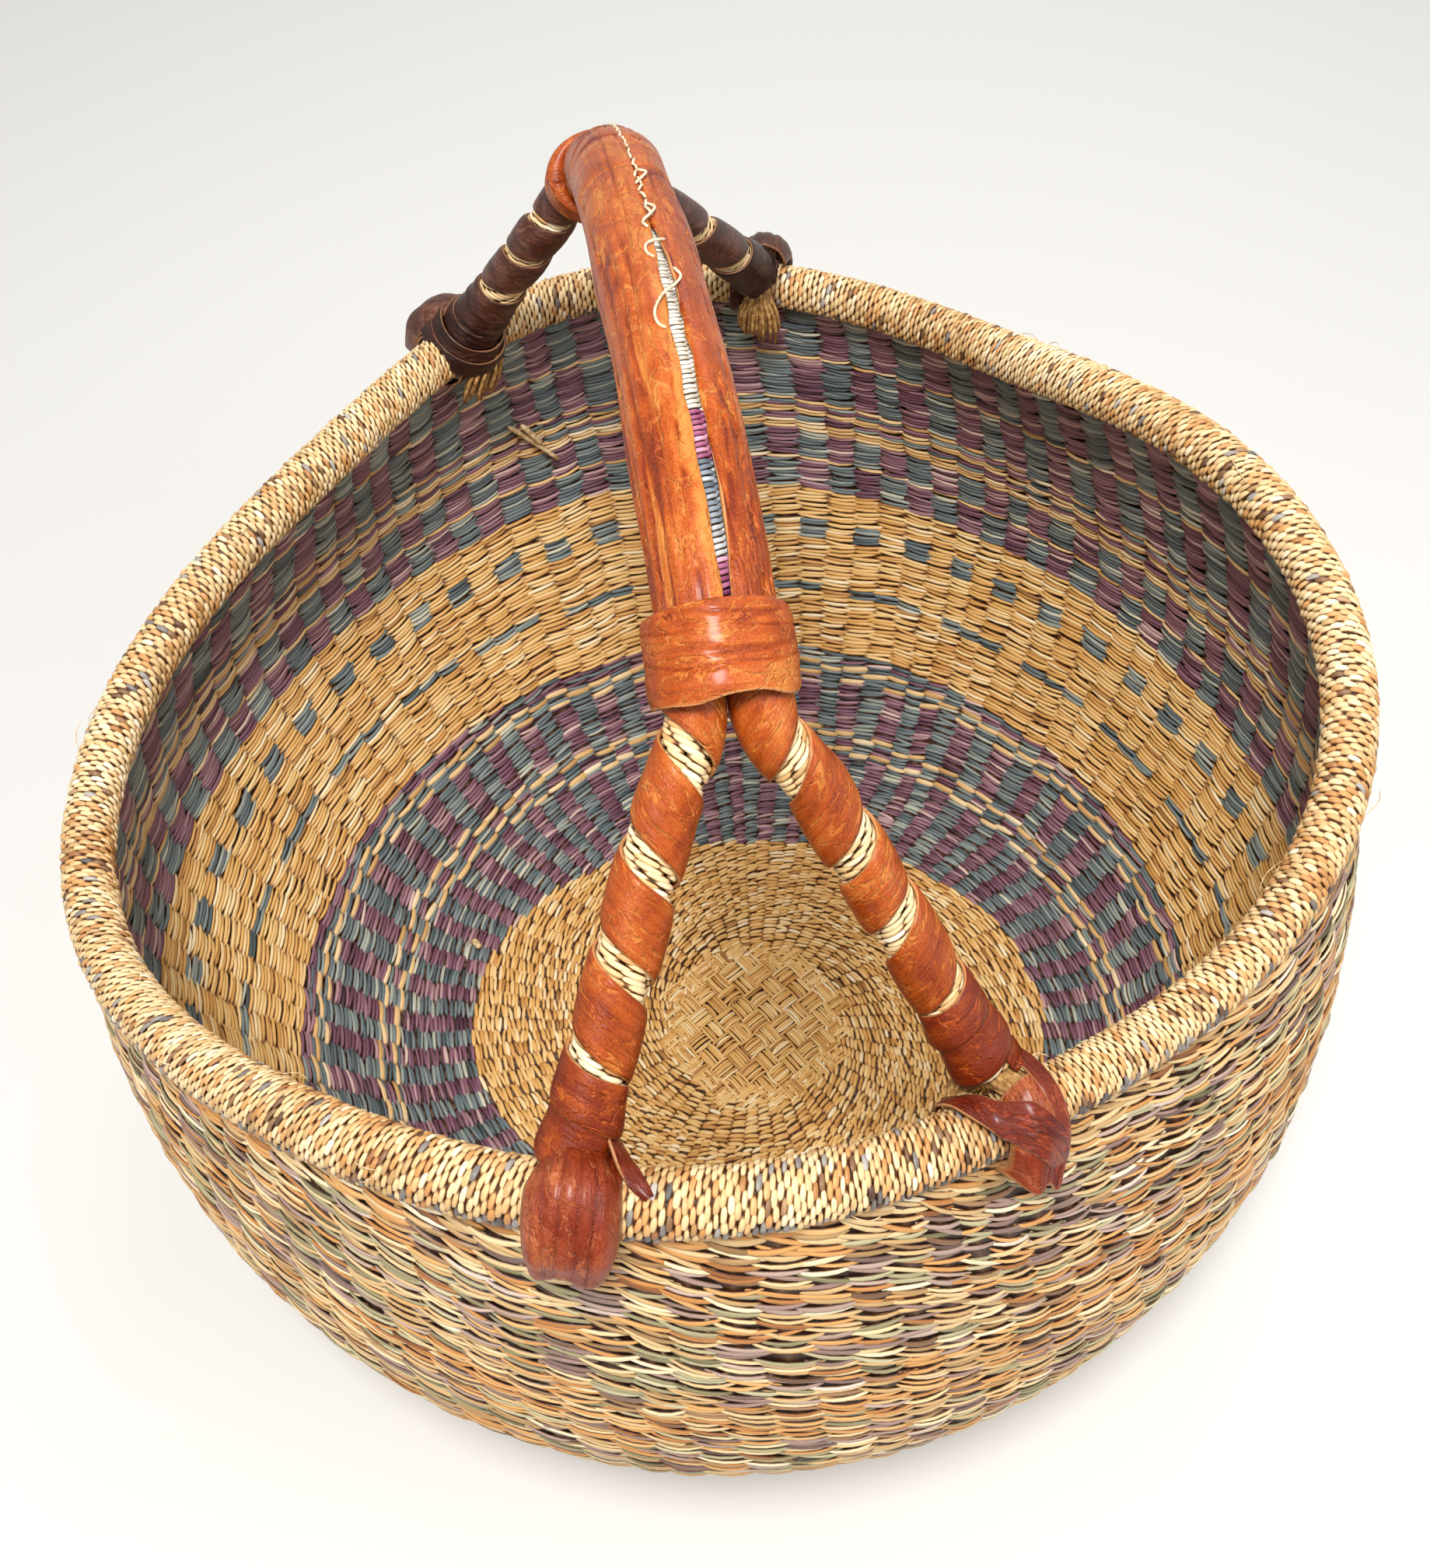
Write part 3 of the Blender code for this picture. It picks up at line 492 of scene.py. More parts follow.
class Strands:
    """Short lengths of strand, each humped along and across, laid on a surface.

    at and turn say where a strand's middle is: at along the surface's first direction and turn
    along its second, both in the surface's own measures. A strand reaches half_at to each side
    of its middle, climbs by slant from one end to the other, and is 2 * half wide.
    """

    def __init__(self, count, rows, columns):
        self.count, self.rows, self.columns = count, rows, columns
        self.t = np.linspace(-1, 1, rows)[None, :, None]
        self.a = np.linspace(-1, 1, columns)[None, None, :]

    def column(self, values):
        """One value for each strand, ready to be spread over its points."""
        return np.broadcast_to(np.asarray(values, float), (self.count,))[:, None, None]

    def lay(self, at, half_at, turn, slant, sag, half, low, high, thick, taper=0.35, fall=2.4):
        """Where each point lies: at, turn and lift off the surface."""
        t, a = self.t, self.a
        narrow = 1 - taper * np.abs(t) ** 2
        along = self.column(at) + self.column(half_at) * t
        hump = 1 - np.abs(t) ** fall
        across = self.column(turn) + self.column(slant) * t + self.column(sag) * (t * t - 0.4)
        across = across + self.column(half) * narrow * np.sin(a * 1.45) + 0 * t
        lift = self.column(low) + (self.column(high) - self.column(low)) * hump
        lift = lift + self.column(thick) * narrow * (np.cos(a * 1.45) - 0.12)
        along = along + 0 * a
        return along, across, lift

    def maps(self, cell_at, cell_turn, cells_at, cells_turn, length_mm, width_mm, tone, seed, dim=(4, 0.92, 2.2)):
        """The attributes of the strands, each in its own cell of the bake's map."""
        rng = np.random.default_rng(seed)
        own = rng.uniform(0, 1, self.count)
        shape = (self.count, self.rows, self.columns)
        inset = 0.03
        right = (self.column(cell_at) + 0.5 + (0.5 - inset) * self.t) / cells_at
        up = (self.column(cell_turn) + 0.5 + (0.5 - inset) * self.a) / cells_turn
        place = np.stack([np.broadcast_to(right, shape), np.broadcast_to(up, shape)], -1)
        along = self.column(length_mm) / 2 * self.t + self.column(own) * 500
        across = self.column(width_mm) / 2 * self.a
        number = self.column(own) * 37
        fibre = np.stack([np.broadcast_to(v, shape) for v in (along, across, number)], -1)
        # Painted shade: each strand darkens towards its ends and edges, where it dives under its neighbours; dim sets
        # how steeply.
        depth = (1 - np.abs(self.t) ** dim[0]) * (1 - dim[1] * np.abs(self.a) ** dim[2])
        return {
            "place": place,
            "fibre": fibre,
            "tone": np.broadcast_to(self.column(tone), shape),
            "depth": np.broadcast_to(depth, shape),
        }


# Materials


def add(tree, kind, values=None, links=None, **settings):
    """Add a node with its settings, its sockets' values and the links into it."""
    node = tree.nodes.new(kind)
    for key, value in settings.items():
        setattr(node, key, value)
    for key, value in (values or {}).items():
        node.inputs[key].default_value = value
    for key, source in (links or {}).items():
        tree.links.new(source, node.inputs[key])
    return node


def ramp(tree, source, stops, interpolation="LINEAR"):
    """A colour ramp over colours at their places: hex colours, linear colours or plain greys."""
    node = add(tree, "ShaderNodeValToRGB", links={"Fac": source})
    band = node.color_ramp
    band.interpolation = interpolation
    while len(band.elements) < len(stops):
        band.elements.new(0.5)
    for element, (place, colour) in zip(band.elements, stops):
        element.position = place
        if isinstance(colour, str):
            colour = linear(colour)
        element.color = colour if isinstance(colour, tuple) else (colour, colour, colour, 1.0)
    return node.outputs["Color"]


def fresh_material(name):
    made = bpy.data.materials.new(name)
    made.use_nodes = True
    tree = made.node_tree
    return made, tree, tree.nodes["Principled BSDF"]


def grass_material(name, stops, streak=0.55, roughness=0.48, gap_shade="#241408"):
    """Dried grass, split, twisted and dyed: fine lengthwise fibres, a dull waxy shine on the crests.

    The fibres are 0.25 mm across and run for some 8 mm; they are drawn twice as coarse as real
    ones so that they show.
    """
    made, tree, shader = fresh_material(name)
    fibre = add(tree, "ShaderNodeAttribute", attribute_name="fibre").outputs["Vector"]
    tone = add(tree, "ShaderNodeAttribute", attribute_name="tone").outputs["Fac"]
    depth = add(tree, "ShaderNodeAttribute", attribute_name="depth").outputs["Fac"]
    stretched = add(tree, "ShaderNodeMapping", links={"Vector": fibre}, values={"Scale": (0.12, 2.0, 1.0)})
    strands = add(tree, "ShaderNodeTexNoise", links={"Vector": stretched.outputs["Vector"]},
                  values={"Scale": 1.0, "Detail": 3.0, "Roughness": 0.6})
    swing = add(tree, "ShaderNodeMath", operation="MULTIPLY_ADD", links={0: strands.outputs["Fac"], 2: tone},
                values={1: streak})
    centred = add(tree, "ShaderNodeMath", operation="SUBTRACT", links={0: swing.outputs["Value"]},
                  values={1: streak / 2})
    colour = ramp(tree, centred.outputs["Value"], stops)
    # Painted shade: the depth attribute darkens each strand towards its ends and edges, down to a dark gap colour
    # between the strands.
    shade = ramp(tree, depth, ((0.0, gap_shade), (0.30, "#9C8066"), (0.62, "#FFFFFF")))
    mixed = add(tree, "ShaderNodeMix", data_type="RGBA", blend_type="MULTIPLY", values={0: 1.0},
                links={6: colour, 7: shade})
    bump = add(tree, "ShaderNodeBump", values={"Strength": 0.55, "Distance": 0.0003},
               links={"Height": strands.outputs["Fac"]})
    rough = ramp(tree, strands.outputs["Fac"], ((0.3, roughness - 0.14), (0.7, roughness + 0.12)))
    tree.links.new(mixed.outputs[2], shader.inputs["Base Color"])
    tree.links.new(bump.outputs["Normal"], shader.inputs["Normal"])
    tree.links.new(rough, shader.inputs["Roughness"])
    shader.inputs["Specular IOR Level"].default_value = 0.45
    return made


GRASS = {
    "natural": ((0.0, "#A0703A"), (0.25, "#D49A52"), (0.5, "#E8B66A"), (0.75, "#F4CE8C"), (1.0, "#FCE8BE")),
    "cream": ((0.0, "#B4864C"), (0.4, "#E2B676"), (0.75, "#F2D29C"), (1.0, "#FBEAC8")),
    "lashing": ((0.0, "#AE8654"), (0.35, "#DDB880"), (0.7, "#F0D4A2"), (1.0, "#FAECCE")),
    "ginger": ((0.0, "#9A6638"), (0.35, "#CC9456"), (0.7, "#E6B87E"), (1.0, "#F4D6A8")),
    "slate": ((0.0, "#56504A"), (0.35, "#88807A"), (0.7, "#B2AAA0"), (1.0, "#D6D0C4")),
    "purple": ((0.0, "#402634"), (0.35, "#6E4456"), (0.65, "#906674"), (0.85, "#B89094"), (1.0, "#DCC0B4")),
    "green": ((0.0, "#34403F"), (0.35, "#58656A"), (0.65, "#7C8988"), (0.85, "#A8AEA2"), (1.0, "#D2D0B8")),
    "mauve": ((0.0, "#5E463E"), (0.4, "#96786C"), (0.8, "#C0A696"), (1.0, "#E0D0BE")),
    "olive": ((0.0, "#5A5434"), (0.4, "#948A64"), (0.8, "#C2B890"), (1.0, "#E4DCBC")),
    "bleached": ((0.0, "#8E6A3E"), (0.35, "#C8A26C"), (0.7, "#E4C896"), (1.0, "#F8EACA")),
    "amber": ((0.0, "#844E24"), (0.35, "#C08242"), (0.7, "#DCA866"), (1.0, "#F2D49E")),
    "brown": ((0.0, "#4A3020"), (0.4, "#7E5A3C"), (0.8, "#A67F58"), (1.0, "#C29C74")),
}


# The grasses of the bound cords, whose grains lie close, so that their painted gap shade is lighter
CORD_GRASS = ("lashing", "ginger", "slate")


def grass_finishes(names):
    made = []
    for name in names:
        full = "dried_grass_" + name
        # The painted shade in the gaps between strands is lighter for the close-laid cords.
        gap_shade = "#4E361E" if name in CORD_GRASS else "#241408"
        made.append(bpy.data.materials.get(full) or grass_material(full, GRASS[name], gap_shade=gap_shade))
    return made


def toned(colour, power, gain):
    """A linear colour made deeper, with a power above 1, or paler."""
    return tuple(min(gain * share ** power, 1.0) for share in colour[:3]) + (1.0,)


def leather_material(name, colour, edge, roughness=0.36):
    """Vegetable-tanned goatskin, dyed and rubbed: pebbled grain, lengthwise streaks, a waxed shine.

    The grain's pebbles are 0.6 mm across and the streaks some 25 mm long, as on thin goatskin.
    """
    made, tree, shader = fresh_material(name)
    fibre = add(tree, "ShaderNodeAttribute", attribute_name="fibre").outputs["Vector"]
    depth = add(tree, "ShaderNodeAttribute", attribute_name="depth").outputs["Fac"]
    tone = add(tree, "ShaderNodeAttribute", attribute_name="tone").outputs["Fac"]
    long_way = add(tree, "ShaderNodeMapping", links={"Vector": fibre}, values={"Scale": (0.04, 0.45, 1.0)})
    streaks = add(tree, "ShaderNodeTexNoise", links={"Vector": long_way.outputs["Vector"]},
                  values={"Scale": 1.0, "Detail": 7.0, "Roughness": 0.66})
    clouds = add(tree, "ShaderNodeTexNoise", links={"Vector": fibre},
                 values={"Scale": 0.09, "Detail": 5.0, "Roughness": 0.6})
    grain = add(tree, "ShaderNodeTexVoronoi", links={"Vector": fibre}, values={"Scale": 1.7})
    pebbles = add(tree, "ShaderNodeMath", operation="MULTIPLY_ADD",
                  links={0: grain.outputs["Distance"], 2: tone}, values={1: -0.28})
    streaked = add(tree, "ShaderNodeMath", operation="MULTIPLY_ADD",
                   links={0: streaks.outputs["Fac"], 2: pebbles.outputs["Value"]}, values={1: 0.55})
    clouded = add(tree, "ShaderNodeMath", operation="MULTIPLY_ADD",
                  links={0: clouds.outputs["Fac"], 2: streaked.outputs["Value"]}, values={1: 0.9})
    line_way = add(tree, "ShaderNodeMapping", links={"Vector": fibre}, values={"Scale": (0.07, 0.17, 1.0)})
    level = add(tree, "ShaderNodeTexNoise", links={"Vector": line_way.outputs["Vector"]},
                values={"Scale": 1.0, "Detail": 3.0, "Roughness": 0.55, "Distortion": 0.6})
    offset = add(tree, "ShaderNodeMath", operation="SUBTRACT", links={0: level.outputs["Fac"]}, values={1: 0.5})
    nearness = add(tree, "ShaderNodeMath", operation="ABSOLUTE", links={0: offset.outputs["Value"]})
    line = ramp(tree, nearness.outputs["Value"], ((0.0, 1.0), (0.03, 0.0)))
    lined = add(tree, "ShaderNodeMath", operation="MULTIPLY_ADD",
                links={0: line, 2: clouded.outputs["Value"]}, values={1: 0.28})
    centred = add(tree, "ShaderNodeMath", operation="SUBTRACT", links={0: lined.outputs["Value"]},
                  values={1: 0.15})
    stops = ((0.12, toned(colour, 1.35, 0.55)), (0.5, colour), (0.88, toned(colour, 0.62, 1.08)))
    shown = ramp(tree, centred.outputs["Value"], stops)
    worn = ramp(tree, depth, ((0.0, 1.0), (0.2, 0.0)))
    edged = add(tree, "ShaderNodeMix", data_type="RGBA", links={0: worn, 6: shown})
    edged.inputs[7].default_value = linear(edge)
    creases = add(tree, "ShaderNodeMapping", links={"Vector": fibre}, values={"Scale": (0.10, 0.75, 1.0)})
    folds = add(tree, "ShaderNodeTexNoise", links={"Vector": creases.outputs["Vector"]},
                values={"Scale": 1.0, "Detail": 5.0, "Roughness": 0.62, "Distortion": 0.4})
    fine = add(tree, "ShaderNodeBump", values={"Strength": 0.45, "Distance": 0.0002},
               links={"Height": grain.outputs["Distance"]})
    coarse = add(tree, "ShaderNodeBump", values={"Strength": 0.8, "Distance": 0.0011},
                 links={"Height": folds.outputs["Fac"], "Normal": fine.outputs["Normal"]})
    lines = add(tree, "ShaderNodeBump", invert=True, values={"Strength": 0.7, "Distance": 0.0005},
                links={"Height": line, "Normal": coarse.outputs["Normal"]})
    rough = ramp(tree, streaks.outputs["Fac"], ((0.3, roughness - 0.08), (0.7, roughness + 0.16)))
    tree.links.new(edged.outputs[2], shader.inputs["Base Color"])
    tree.links.new(lines.outputs["Normal"], shader.inputs["Normal"])
    tree.links.new(rough, shader.inputs["Roughness"])
    shader.inputs["Specular IOR Level"].default_value = 0.26
    shader.inputs["Coat Weight"].default_value = 0.14
    shader.inputs["Coat Roughness"].default_value = 0.18
    return made


def leather_finish(kind):
    name = "goatskin_" + kind
    if name in bpy.data.materials:
        return bpy.data.materials[name]
    finish = finish_settings()
    colours = {"tanned": (finish.tan, "#C08450"), "dark": (finish.dark, "#B07C50"), "umber": (finish.umber, "#8E6444")}
    colour, edge = colours[kind]
    return leather_material(name, tuple(colour), edge)


def dress(made, slot, *nodes):
    """Let a piece ride on the basket and stand for its CAD nodes, which it hides."""
    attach(made, "root")
    if nodes:
        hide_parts(*nodes)
    return made


# The weave


def stake_drift(stake, length, side):
    """How far the hand-laid stakes wander, in stakes, and how far the courses wander, in metres."""
    angle = stake / weave_settings().stakes * math.tau
    x, y = np.cos(angle) * 3, np.sin(angle) * 3
    sideways = 0.16 * ripple(31 + side, x, y, length / 0.09)
    upward = 0.0011 * ripple(53 + side, x * 1.6, y * 1.6, length / 0.12)
    return sideways, upward


def bowl_points(strands, at, turn, lift, side):
    """Strand points laid on the outside, side 1, or the inside, side -1, of the bowl."""
    sideways, upward = stake_drift(at, turn, side)
    angle = (at + sideways) / weave_settings().stakes * math.tau
    length = turn + upward * smooth((turn - CURVE.floor_edge) / 0.03)
    return CURVE.point(angle, length, side * lift)


def wall_cells():
    """Stake and course number of every cell of the wall, as flat arrays."""
    settings = weave_settings()
    courses = int((CURVE.top - CURVE.floor_edge - 0.004) / settings.course)
    stake, course = np.meshgrid(np.arange(settings.stakes), np.arange(courses), indexing="xy")
    return stake.ravel(), course.ravel(), courses


def blocks(stake, row):
    """The colour of a stake in a row of alternating blocks: 1 for purple, 0 for grey-green."""
    return (stake + row) % 2


# The rows of the dyed band inside, by their heights on the profile from the top down
BAND_ROWS = (
    (0.2115, "blocks", 0), (0.2090, "line", 0), (0.1815, "blocks", 1), (0.1785, "line", 0),
    (0.1752, "stripe", 0), (0.1722, "line", 0), (0.1668, "stripe", 1), (0.1625, "line", 0),
    (0.1462, "blocks", 0), (0.1432, "line", 0), (0.1268, "blocks", 1),
)
SQUARES_LOW, SQUARES_HIGH = 0.1035, 0.1130
DASH_LOW, DASH_HIGH = 0.0768, 0.0806
DARK_TOP = 0.0505
FLOOR_STRIPES_TOP = 0.0385
RING_HEIGHTS = (0.0150, 0.0098)


def inner_dyes(stake, length, rng):
    """The dye of each strand on the inside: an index into INNER_FINISHES."""
    height = np.interp(length, CURVE.length, CURVE.height)
    course = weave_settings().course
    dye = np.full(stake.shape, 0)
    even = stake % 2 == 0

    last = RIM_HEIGHT
    for low, kind, row in BAND_ROWS:
        inside = (height >= low) & (height < last)
        if kind == "blocks":
            colour = np.where(blocks(stake, row) == 1, 2, 3)
        elif kind == "line":
            colour = np.full(stake.shape, 1)
        else:
            colour = np.where(rng.uniform(size=stake.shape) < 0.5, 2, 3)
        dye = np.where(inside, colour, dye)
        last = low

    squares = (height >= SQUARES_LOW) & (height < SQUARES_HIGH) & even
    dye = np.where(squares, 3, dye)
    dash = (height >= DASH_LOW) & (height < DASH_HIGH) & ((stake % 4) != 3)
    dye = np.where(dash, 3, dye)

    dark = (height < DARK_TOP)
    angle = stake / weave_settings().stakes * math.tau
    radius = np.interp(length, CURVE.length, CURVE.radius)
    disc = 0.113 + 0.0186 * np.cos(2 * angle)
    shifted = np.hypot(radius * np.cos(angle) - 0.0016, radius * np.sin(angle) - 0.0085)
    on_disc = (length < CURVE.floor_edge) & (shifted < disc)
    stripes = np.where(even, 2, 3)
    ring_top = CURVE.at_height(DARK_TOP)
    down = (ring_top - length) / course
    dark_rows = np.where(rng.uniform(size=stake.shape) < 0.55, 2, 3)
    dye = np.where(dark, stripes, dye)
    dye = np.where(dark & (down < 3), dark_rows, dye)
    dye = np.where(dark & (down >= 3) & (down < 4), np.where(even, 1, 3), dye)
    dye = np.where(dark & (down >= 4) & (down < 5), np.where(even, 3, 1), dye)
    dye = np.where(dark & (down >= 5) & (down < 6), 3, dye)
    dye = np.where(dark & (down >= 6) & (down < 7.6), np.where(even, 1, 3), dye)
    for ring in RING_HEIGHTS:
        over = (length - CURVE.at_height(ring)) / course
        dye = np.where((over >= 0) & (over < 1), np.where(even, 1, 3), dye)
        dye = np.where((over >= -1) & (over < 0), np.where(even, 3, 1), dye)
    dye = np.where(on_disc, 0, dye)
    return dye


INNER_FINISHES = ("natural", "cream", "purple", "green")
OUTER_FINISHES = ("bleached", "amber", "mauve", "olive", "brown")


def outer_dyes(stake, length, rng):
    """The dye of each strand on the outside, where the band inside shows as faint blocks."""
    height = np.interp(length, CURVE.length, CURVE.height)
    chance = np.tile([0.50, 0.17, 0.15, 0.15, 0.03], (len(stake), 1))
    last = RIM_HEIGHT
    for low, kind, row in BAND_ROWS:
        inside = (height >= low) & (height < last)
        if kind == "blocks":
            purple = (blocks(stake, row) == 1) & inside
            green = (blocks(stake, row) == 0) & inside
            chance[purple] = [0.32, 0.18, 0.34, 0.10, 0.06]
            chance[green] = [0.38, 0.18, 0.08, 0.32, 0.04]
        else:
            chance[inside] = [0.32, 0.48, 0.06, 0.06, 0.08]
        last = low
    low_band = height < 0.075
    chance[low_band & (stake % 2 == 0)] = [0.36, 0.20, 0.24, 0.10, 0.10]
    chance[low_band & (stake % 2 == 1)] = [0.38, 0.20, 0.08, 0.26, 0.08]
    pick = rng.uniform(size=len(stake))[:, None]
    return np.minimum((np.cumsum(chance, 1) < pick).sum(1), 4)


class BASKET_OT_outer_weave(bpy.types.Operator):
    """Lay the weft strands on the outside of the bowl."""

    bl_idname = "basket.outer_weave"
    bl_label = "Outer weave"

    def execute(self, context):
        settings = weave_settings()
        rng = np.random.default_rng(settings.seed)
        stake, course, courses = wall_cells()
        turn = CURVE.floor_edge + (course + 0.5) * settings.course
        strands = Strands(len(stake), 7, 5)
        count = len(stake)
        up = smooth((turn - CURVE.floor_edge) / 0.03)
        loose = smooth((turn - (CURVE.top - 0.022)) / 0.008)
        half = settings.course * (0.43 + 0.05 * rng.normal(size=count)) * (1 + 0.22 * loose)
        high = 1.05 * MM + 0.40 * MM * up + 0.30 * MM * rng.normal(size=count)
        low = -0.2 * MM * up + 0.2 * MM * rng.normal(size=count)
        slant = -settings.course * (1.30 + 0.60 * rng.normal(size=count) + 0.2 * loose)
        jitter = settings.course * 0.18 * rng.normal(size=count)
        at, across, lift = strands.lay(
            stake + 0.09 * rng.normal(size=count), 0.84 + 0.06 * rng.normal(size=count), turn + jitter, slant,
            settings.course * (0.1 + 0.3 * rng.normal(size=count)), half, low, high,
            0.85 * MM * (1 + 0.2 * loose), taper=0.5, fall=2.0)
        points = bowl_points(strands, at, across, lift, 1)
        dye = outer_dyes(stake, turn, rng)
        dye = np.where(loose > 0.5, np.where(rng.uniform(size=count) < 0.6, 0, 1), dye)
        tone = np.clip(0.5 + 0.2 * rng.normal(size=count), 0, 1)
        maps = strands.maps(stake, course, settings.stakes, courses, 12.5, 1.9, tone, settings.seed,
                            dim=(6, 0.97, 2.6))
        whole = rng.uniform(size=count) > 0.006
        points, dye = points[whole], dye[whole]
        maps = {key: values[whole] for key, values in maps.items()}
        made = grid_object("weave_outside", points, maps, grass_finishes(OUTER_FINISHES),
                           flip=False, face_finish=dye)
        dress(made, "woven_grass")
        return {"FINISHED"}


class BASKET_OT_inner_weave(bpy.types.Operator):
    """Lay the weft strands on the inside of the bowl, with its dyed bands."""

    bl_idname = "basket.inner_weave"
    bl_label = "Inner weave"

    def execute(self, context):
        settings = weave_settings()
        rng = np.random.default_rng(settings.seed + 1)
        stake, course, courses = wall_cells()
        floor_courses = int((CURVE.floor_edge - 0.030) / settings.course)
        floor_stake, floor_course = np.meshgrid(np.arange(settings.stakes), -1 - np.arange(floor_courses))
        stake = np.concatenate([stake, floor_stake.ravel()])
        course = np.concatenate([course, floor_course.ravel()])
        turn = CURVE.floor_edge + (course + 0.5) * settings.course
        keep = (turn > 0.060) | (stake % 2 == 0)
        stake, course, turn = stake[keep], course[keep], turn[keep]
        count = len(stake)
        near = turn < 0.060
        strands = Strands(count, 5, 4)
        spacing = np.interp(turn, CURVE.length, CURVE.radius) * math.tau / settings.stakes
        bulge = np.clip(spacing / 0.012, 0.3, 1.1)
        half = settings.course * (0.49 + 0.04 * rng.normal(size=count))
        high = 1.3 * MM + 1.1 * MM * bulge + 0.14 * MM * rng.normal(size=count)
        low = 0.35 * MM + 0.15 * MM * rng.normal(size=count)
        slant = -settings.course * (0.42 + 0.20 * rng.normal(size=count))
        jitter = settings.course * 0.15 * rng.normal(size=count)
        dye = inner_dyes(stake, turn, rng)
        bead = (dye == 1) & (turn < CURVE.at_height(DARK_TOP))
        half = half * np.where(bead, 1.5, 1.0)
        high = high + np.where(bead, 0.5 * MM, 0.0)
        at, across, lift = strands.lay(
            stake + np.where(near, 0.5, 0.0) + 0.08 * rng.normal(size=count), np.where(near, 1.3, 0.74),
            turn + jitter, slant, settings.course * (0.10 + 0.12 * rng.normal(size=count)), half, low, high,
            1.0 * MM, taper=0.25, fall=2.2)
        points = bowl_points(strands, at, across, lift, -1)
        tone = np.clip(0.56 + 0.2 * rng.normal(size=count), 0, 1)
        maps = strands.maps(stake, course + floor_courses, settings.stakes, courses + floor_courses,
                            10.0, 1.9, tone, settings.seed, dim=(3, 0.72, 2.6))
        # Painted shadow under the rim: the top courses inside are darkened.
        shadow = smooth((CURVE.top - 0.0085 - turn) / 0.003)
        maps["depth"] = maps["depth"] * (0.15 + 0.85 * shadow)[:, None, None]
        made = grid_object("weave_inside", points, maps, grass_finishes(INNER_FINISHES),
                           flip=True, face_finish=dye)
        dress(made, "woven_grass")
        return {"FINISHED"}


class BASKET_OT_stakes(bpy.types.Operator):
    """Make the ribbed body of upright stakes that the weft is woven round, dark brown as painted shade between the
    strands.
    """

    bl_idname = "basket.stakes"
    bl_label = "Stakes"

    def execute(self, context):
        settings = weave_settings()
        around = settings.stakes * 4
        lengths = np.concatenate([
            np.linspace(0.0004, CURVE.floor_edge, 24)[:-1],
            np.linspace(CURVE.floor_edge, CURVE.top - 0.0062, 44),
        ])
        rings = []
        stake = np.arange(around) / 4
        for side, order in ((1, 1), (-1, -1)):
            for length in lengths[::order]:
                wander = stake_drift(stake, length, side)[0]
                rib = 0.5 + 0.5 * np.cos(stake * math.tau)
                grow = smooth((length - 0.03) / 0.05)
                lift = 0.35 * MM + 0.95 * MM * rib * grow
                angle = (stake + wander) / settings.stakes * math.tau
                rings.append(CURVE.point(angle, np.full(around, length), side * lift))
        points = np.array(rings)
        rows = len(rings)
        shape = (rows, around)
        length_mm = np.concatenate([lengths, lengths[::-1]]) * 1000
        fibre = np.stack(np.broadcast_arrays(length_mm[:, None], (stake * 9)[None, :], 0.0), -1)
        inside = (np.arange(rows) >= rows // 2)[:, None]
        # Painted shade: darker on the outside than the inside, and darker between the ribs than on them.
        depth = np.where(inside, 0.26, 0.10) + 0.3 * np.cos(stake * math.tau).clip(0)
        maps = {"place": place_of(rows, around), "fibre": fibre, "tone": np.full(shape, 0.30), "depth": depth}
        made = grid_object("stakes", points, maps, grass_finishes(("brown",)), flip=False, round_columns=True)
        dress(made, "woven_grass", "woven_bowl")
        return {"FINISHED"}


class BASKET_OT_centre(bpy.types.Operator):
    """Lay the crossed bundles that the weave is started on, in the middle of the floor."""

    bl_idname = "basket.centre"
    bl_label = "Start of the weave"

    def execute(self, context):
        rng = np.random.default_rng(weave_settings().seed + 2)
        cell, across_cell, reach = 0.0088, 7, 0.041
        row, column = np.meshgrid(np.arange(-5, 6), np.arange(-5, 6), indexing="ij")
        row, column = row.ravel(), column.ravel()
        near = np.hypot(row, column) * cell < reach
        row, column = np.repeat(row[near], across_cell), np.repeat(column[near], across_cell)
        place = np.tile(np.arange(across_cell), int(near.sum())) - (across_cell - 1) / 2
        count = len(row)
        strands = Strands(count, 7, 4)
        t, a = strands.t, strands.a
        col = strands.column
        lengthways = (row + column) % 2 == 0
        bend = col(rng.normal(0, 0.0007, count)) * (t ** 2)
        long = col(cell * rng.uniform(0.62, 0.86, count)) * t + 0 * a
        beside = place * cell / across_cell + rng.normal(0, 0.0002, count)
        wide = col(beside) + 0.00078 * (1 - 0.3 * t ** 2) * np.sin(a * 1.45) + bend
        u = col(row * cell) + np.where(col(lengthways) > 0, long, wide)
        v = col(column * cell) + np.where(col(lengthways) > 0, wide, long)
        turned = math.radians(41)
        x = u * math.cos(turned) - v * math.sin(turned)
        y = u * math.sin(turned) + v * math.cos(turned)
        radius = np.hypot(x, y)
        dome = BASE_RISE * np.clip(1 - (radius / BASE_DOME_RADIUS) ** 2, 0, None) ** 2
        lift = col(rng.uniform(1.2, 1.9, count) * MM) * (1 - np.abs(t) ** 2.4) + 0.8 * MM * np.cos(a * 1.45)
        z = WALL / 2 + 0.2 * MM + dome + lift
        points = np.stack(np.broadcast_arrays(x, y, z), -1)
        side = int(math.ceil(math.sqrt(count)))
        number = np.arange(count)
        tone = np.clip(0.5 + 0.2 * rng.normal(size=count), 0, 1)
        maps = strands.maps(number % side, number // side, side, side, 14.0, 1.8, tone, 3)
        made = grid_object("weave_start", points, maps, grass_finishes(("natural",)), flip=False)
        dress(made, "woven_grass")
        return {"FINISHED"}


